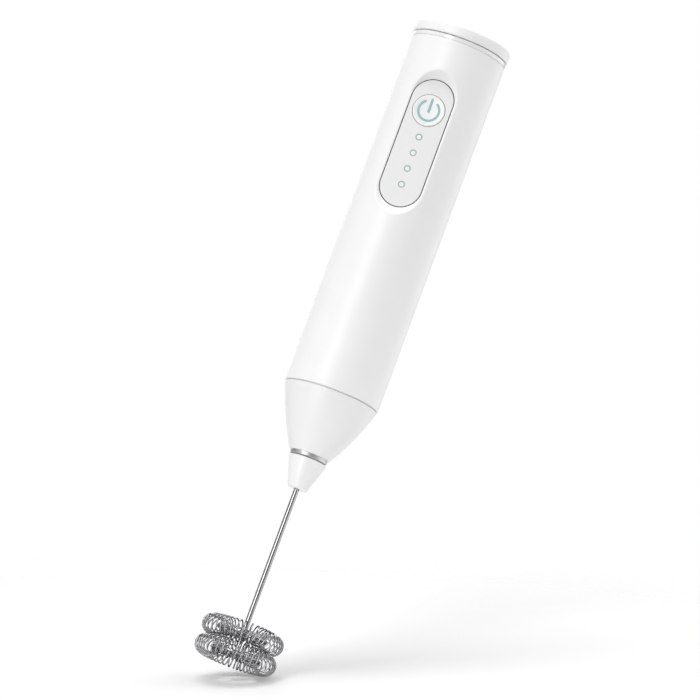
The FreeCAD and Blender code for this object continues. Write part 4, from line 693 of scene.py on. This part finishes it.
def ring_frame(node, name):
    """A collar, three spokes with weld fillets, and the ring wire, as one mesh."""
    height = ring_middle(node)
    bm = bmesh.new()

    def tube(points, radii, sides, closed=False):
        rings = []
        for index, spot in enumerate(points):
            if closed:
                before, after = points[index - 1], points[(index + 1) % len(points)]
            else:
                before, after = points[max(index - 1, 0)], points[min(index + 1, len(points) - 1)]
            along = (after - before).normalized()
            up = Vector((0, 0, 1)) if abs(along.z) < UPRIGHT else Vector((1, 0, 0))
            side = along.cross(up).normalized()
            rise = side.cross(along)
            ring = []
            for step in range(sides):
                angle = math.tau * step / sides
                ring.append(bm.verts.new(
                    spot + (side * math.cos(angle) + rise * math.sin(angle)) * radii[index]))
            rings.append(ring)
        for ring, after in zip(rings, rings[1:] + rings[:1] if closed else rings[1:]):
            stitch(bm, ring, after)
        if not closed:
            bm.faces.new(rings[0])
            bm.faces.new(rings[-1])

    loop = []
    for step in range(LOOP_STEPS):
        angle = math.tau * step / LOOP_STEPS
        loop.append(Vector((LOOP * math.cos(angle), LOOP * math.sin(angle), height)))
    tube(loop, [LOOP_WIRE] * LOOP_STEPS, LOOP_SIDES, closed=True)
    for spoke in range(SPOKES):
        angle = math.pi / TURNS + math.tau * spoke / SPOKES
        out = Vector((math.cos(angle), math.sin(angle), 0))
        tube([out * reach + Vector((0, 0, height)) for reach, thick in SPOKE],
             [thick for reach, thick in SPOKE], SPOKE_SIDES)
    collar = eased([
        (SHAFT, height - COLLAR_HALF, 0.08), (COLLAR, height - COLLAR_HALF, 0.25),
        (COLLAR, height + COLLAR_HALF, 0.25), (SHAFT, height + COLLAR_HALF, 0.08)])
    rings = [circle(bm, spot.x, spot.y, SLIM) for spot in collar]
    for ring, after in zip(rings, rings[1:] + rings[:1]):
        stitch(bm, ring, after)
    return object_from(bm, name)


as_piece(ring_frame("upper_ring_frame", "upper_frame_wires"), "upper_ring_frame")
as_piece(ring_frame("lower_ring_frame", "lower_frame_wires"), "lower_ring_frame")

# ------------------------------------------------------------------ camera

AZIMUTH = math.radians(10.0)
ELEVATION = math.radians(-9.8)
LEAN = math.radians(20.28)
DISTANCE = 2.1
AIM_HEIGHT = 112.39
AIM_RIGHT = 0.62

# Ways in space: from the frother to the camera, and up and to the right in the picture.
back_way = Vector((math.sin(AZIMUTH) * math.cos(ELEVATION),
                   -math.cos(AZIMUTH) * math.cos(ELEVATION), math.sin(ELEVATION)))
ahead_way = -back_way
level_up = (Vector((0, 0, 1)) - ahead_way * ahead_way.z).normalized()
level_right = ahead_way.cross(level_up)
picture_up = level_up * math.cos(LEAN) - level_right * math.sin(LEAN)
picture_right = level_up * math.sin(LEAN) + level_right * math.cos(LEAN)
aim = Vector((0, 0, AIM_HEIGHT * MM)) + picture_right * AIM_RIGHT * MM
camera_data = bpy.data.cameras.new("camera")
camera_data.lens = 324.0
camera_data.sensor_width = 36.0
camera_data.clip_start = 0.05
camera_data.clip_end = 20.0
camera = bpy.data.objects.new("camera", camera_data)
bpy.context.scene.collection.objects.link(camera)
camera.matrix_world = Matrix.Translation(aim + back_way * DISTANCE) @ Matrix((
    picture_right, picture_up, back_way)).transposed().to_4x4()
bpy.context.scene.camera = camera

# ------------------------------------------------------------------ floor

FLOOR_TILT = math.radians(8.0)
FLOOR_CLEAR = 0.11      # metres from the frother's foot where the sheet starts to fade
FLOOR_END = 0.25        # and where it has gone
FLOOR_GAP = 0.0001
FLOOR_SEGMENTS = 96

floor_up = (picture_up * math.cos(FLOOR_TILT) + back_way * math.sin(FLOOR_TILT)).normalized()
lowest_coil = coil_points(ring_middle("lower_coil"), LOWER_PHASE)
contact = min((Vector(spot) for spot in lowest_coil), key=lambda spot: spot.dot(floor_up)) * MM
floor_spot = contact - floor_up * (WIRE * MM + FLOOR_GAP)
bm = bmesh.new()
bmesh.ops.create_circle(bm, cap_ends=True, segments=FLOOR_SEGMENTS, radius=FLOOR_END)
floor_mesh = bpy.data.meshes.new("pale_floor")
bm.to_mesh(floor_mesh)
bm.free()
floor = bpy.data.objects.new("pale_floor", floor_mesh)
bpy.context.scene.collection.objects.link(floor)
floor.matrix_world = (Matrix.Translation(floor_spot)
                      @ floor_up.to_track_quat("Z", "Y").to_matrix().to_4x4())
floor_mat, floor_tree, floor_shader, floor_add = new_material("pale_floor")
floor_low, floor_high = near((0.87, 0.87, 0.87), 0.005)
floor_tree.links.new(tinted(floor_add, grain(floor_add, 9.0).outputs["Fac"], floor_low, floor_high),
                     floor_shader.inputs["Base Color"])
floor_shader.inputs["Roughness"].default_value = 0.8
floor_shader.inputs["Specular IOR Level"].default_value = 0.1

# The sheet melts into the white studio away from the frother, and is open from underneath.
here = floor_add("ShaderNodeTexCoord")
reach = floor_add("ShaderNodeVectorMath", {0: here.outputs["Object"]}, operation="LENGTH")
fade = floor_add("ShaderNodeMapRange", {
    "Value": reach.outputs["Value"], "From Min": FLOOR_CLEAR, "From Max": FLOOR_END},
    interpolation_type="SMOOTHSTEP")
underside = floor_add("ShaderNodeNewGeometry")
open_share = floor_add("ShaderNodeMath", {
    0: fade.outputs["Result"], 1: underside.outputs["Backfacing"]}, operation="MAXIMUM")
gone = floor_add("ShaderNodeBsdfTransparent")
sheet = floor_add("ShaderNodeMixShader", {0: open_share.outputs[0], 1: floor_shader.outputs[0],
                                          2: gone.outputs[0]})
floor_tree.links.new(sheet.outputs[0], floor_tree.nodes["Material Output"].inputs["Surface"])
floor.data.materials.append(floor_mat)

# ------------------------------------------------------------------ light

LIT_SPOT = Vector((0, 0, 0.12))


def soft_box(name, offset, size, power):
    """An area light that points at the frother from an offset in metres."""
    data = bpy.data.lights.new(name, "AREA")
    data.shape = "RECTANGLE"
    data.size, data.size_y = size
    data.energy = power
    lamp = bpy.data.objects.new(name, data)
    bpy.context.scene.collection.objects.link(lamp)
    facing = (-offset).to_track_quat("-Z", "Y").to_matrix().to_4x4()
    lamp.matrix_world = Matrix.Translation(LIT_SPOT + offset) @ facing


soft_box("side_strip", picture_right * -0.68 + picture_up * 0.35 + back_way * 1.22,
         (0.5, 1.6), 12.7)
soft_box("overhead", floor_up * 1.1 - picture_right * 0.03 - back_way * 0.05, (0.4, 0.4), 4.4)

# How bright the studio is going round the frother: each entry is (share of the way round, level),
# from behind it past its left, its front and its right, and back.
AROUND = [(0.0, 1.7), (0.05, 1.65), (0.11, 0.55), (0.14, 0.30), (0.19, 0.32), (0.25, 0.50),
          (0.36, 0.56), (0.43, 0.32), (0.52, 0.22), (0.61, 0.30), (0.67, 0.80), (0.73, 1.40),
          (0.82, 1.50), (0.88, 1.35), (0.93, 0.50), (1.0, 0.25)]

world = bpy.data.worlds.new("studio")
bpy.context.scene.world = world
world.use_nodes = True
tree = world.node_tree
tree.nodes.clear()


def world_node(kind, **settings):
    node = tree.nodes.new(kind)
    for key, value in settings.items():
        setattr(node, key, value)
    return node


def along(way):
    """How far the looked-at direction points along a way."""
    dot = world_node("ShaderNodeVectorMath", operation="DOT_PRODUCT")
    tree.links.new(direction.outputs["Generated"], dot.inputs[0])
    dot.inputs[1].default_value = way
    return dot.outputs["Value"]


direction = world_node("ShaderNodeTexCoord")
turn_angle = world_node("ShaderNodeMath", operation="ARCTAN2")
tree.links.new(along(picture_right), turn_angle.inputs[0])
tree.links.new(along(back_way), turn_angle.inputs[1])
share = world_node("ShaderNodeMapRange")
tree.links.new(turn_angle.outputs[0], share.inputs["Value"])
share.inputs["From Min"].default_value = -math.pi
share.inputs["From Max"].default_value = math.pi
ring = world_node("ShaderNodeValToRGB")
tree.links.new(share.outputs["Result"], ring.inputs["Fac"])
ring.color_ramp.interpolation = "EASE"
while len(ring.color_ramp.elements) > 1:
    ring.color_ramp.elements.remove(ring.color_ramp.elements[0])
first_place, first_level = AROUND[0]
ring.color_ramp.elements[0].position = first_place
ring.color_ramp.elements[0].color = (first_level, first_level, first_level, 1)
for place, level in AROUND[1:]:
    ring.color_ramp.elements.new(place).color = (level, level, level, 1)
white = world_node("ShaderNodeBackground")
white.inputs["Color"].default_value = (1, 1, 1, 1)
soft = world_node("ShaderNodeBackground")
tree.links.new(ring.outputs["Color"], soft.inputs["Color"])
soft.inputs["Strength"].default_value = 1.0
path = world_node("ShaderNodeLightPath")
mix = world_node("ShaderNodeMixShader")
tree.links.new(path.outputs["Is Camera Ray"], mix.inputs[0])
tree.links.new(soft.outputs[0], mix.inputs[1])
tree.links.new(white.outputs[0], mix.inputs[2])
output = world_node("ShaderNodeOutputWorld")
tree.links.new(mix.outputs[0], output.inputs["Surface"])
bpy.context.scene.view_settings.view_transform = "Standard"
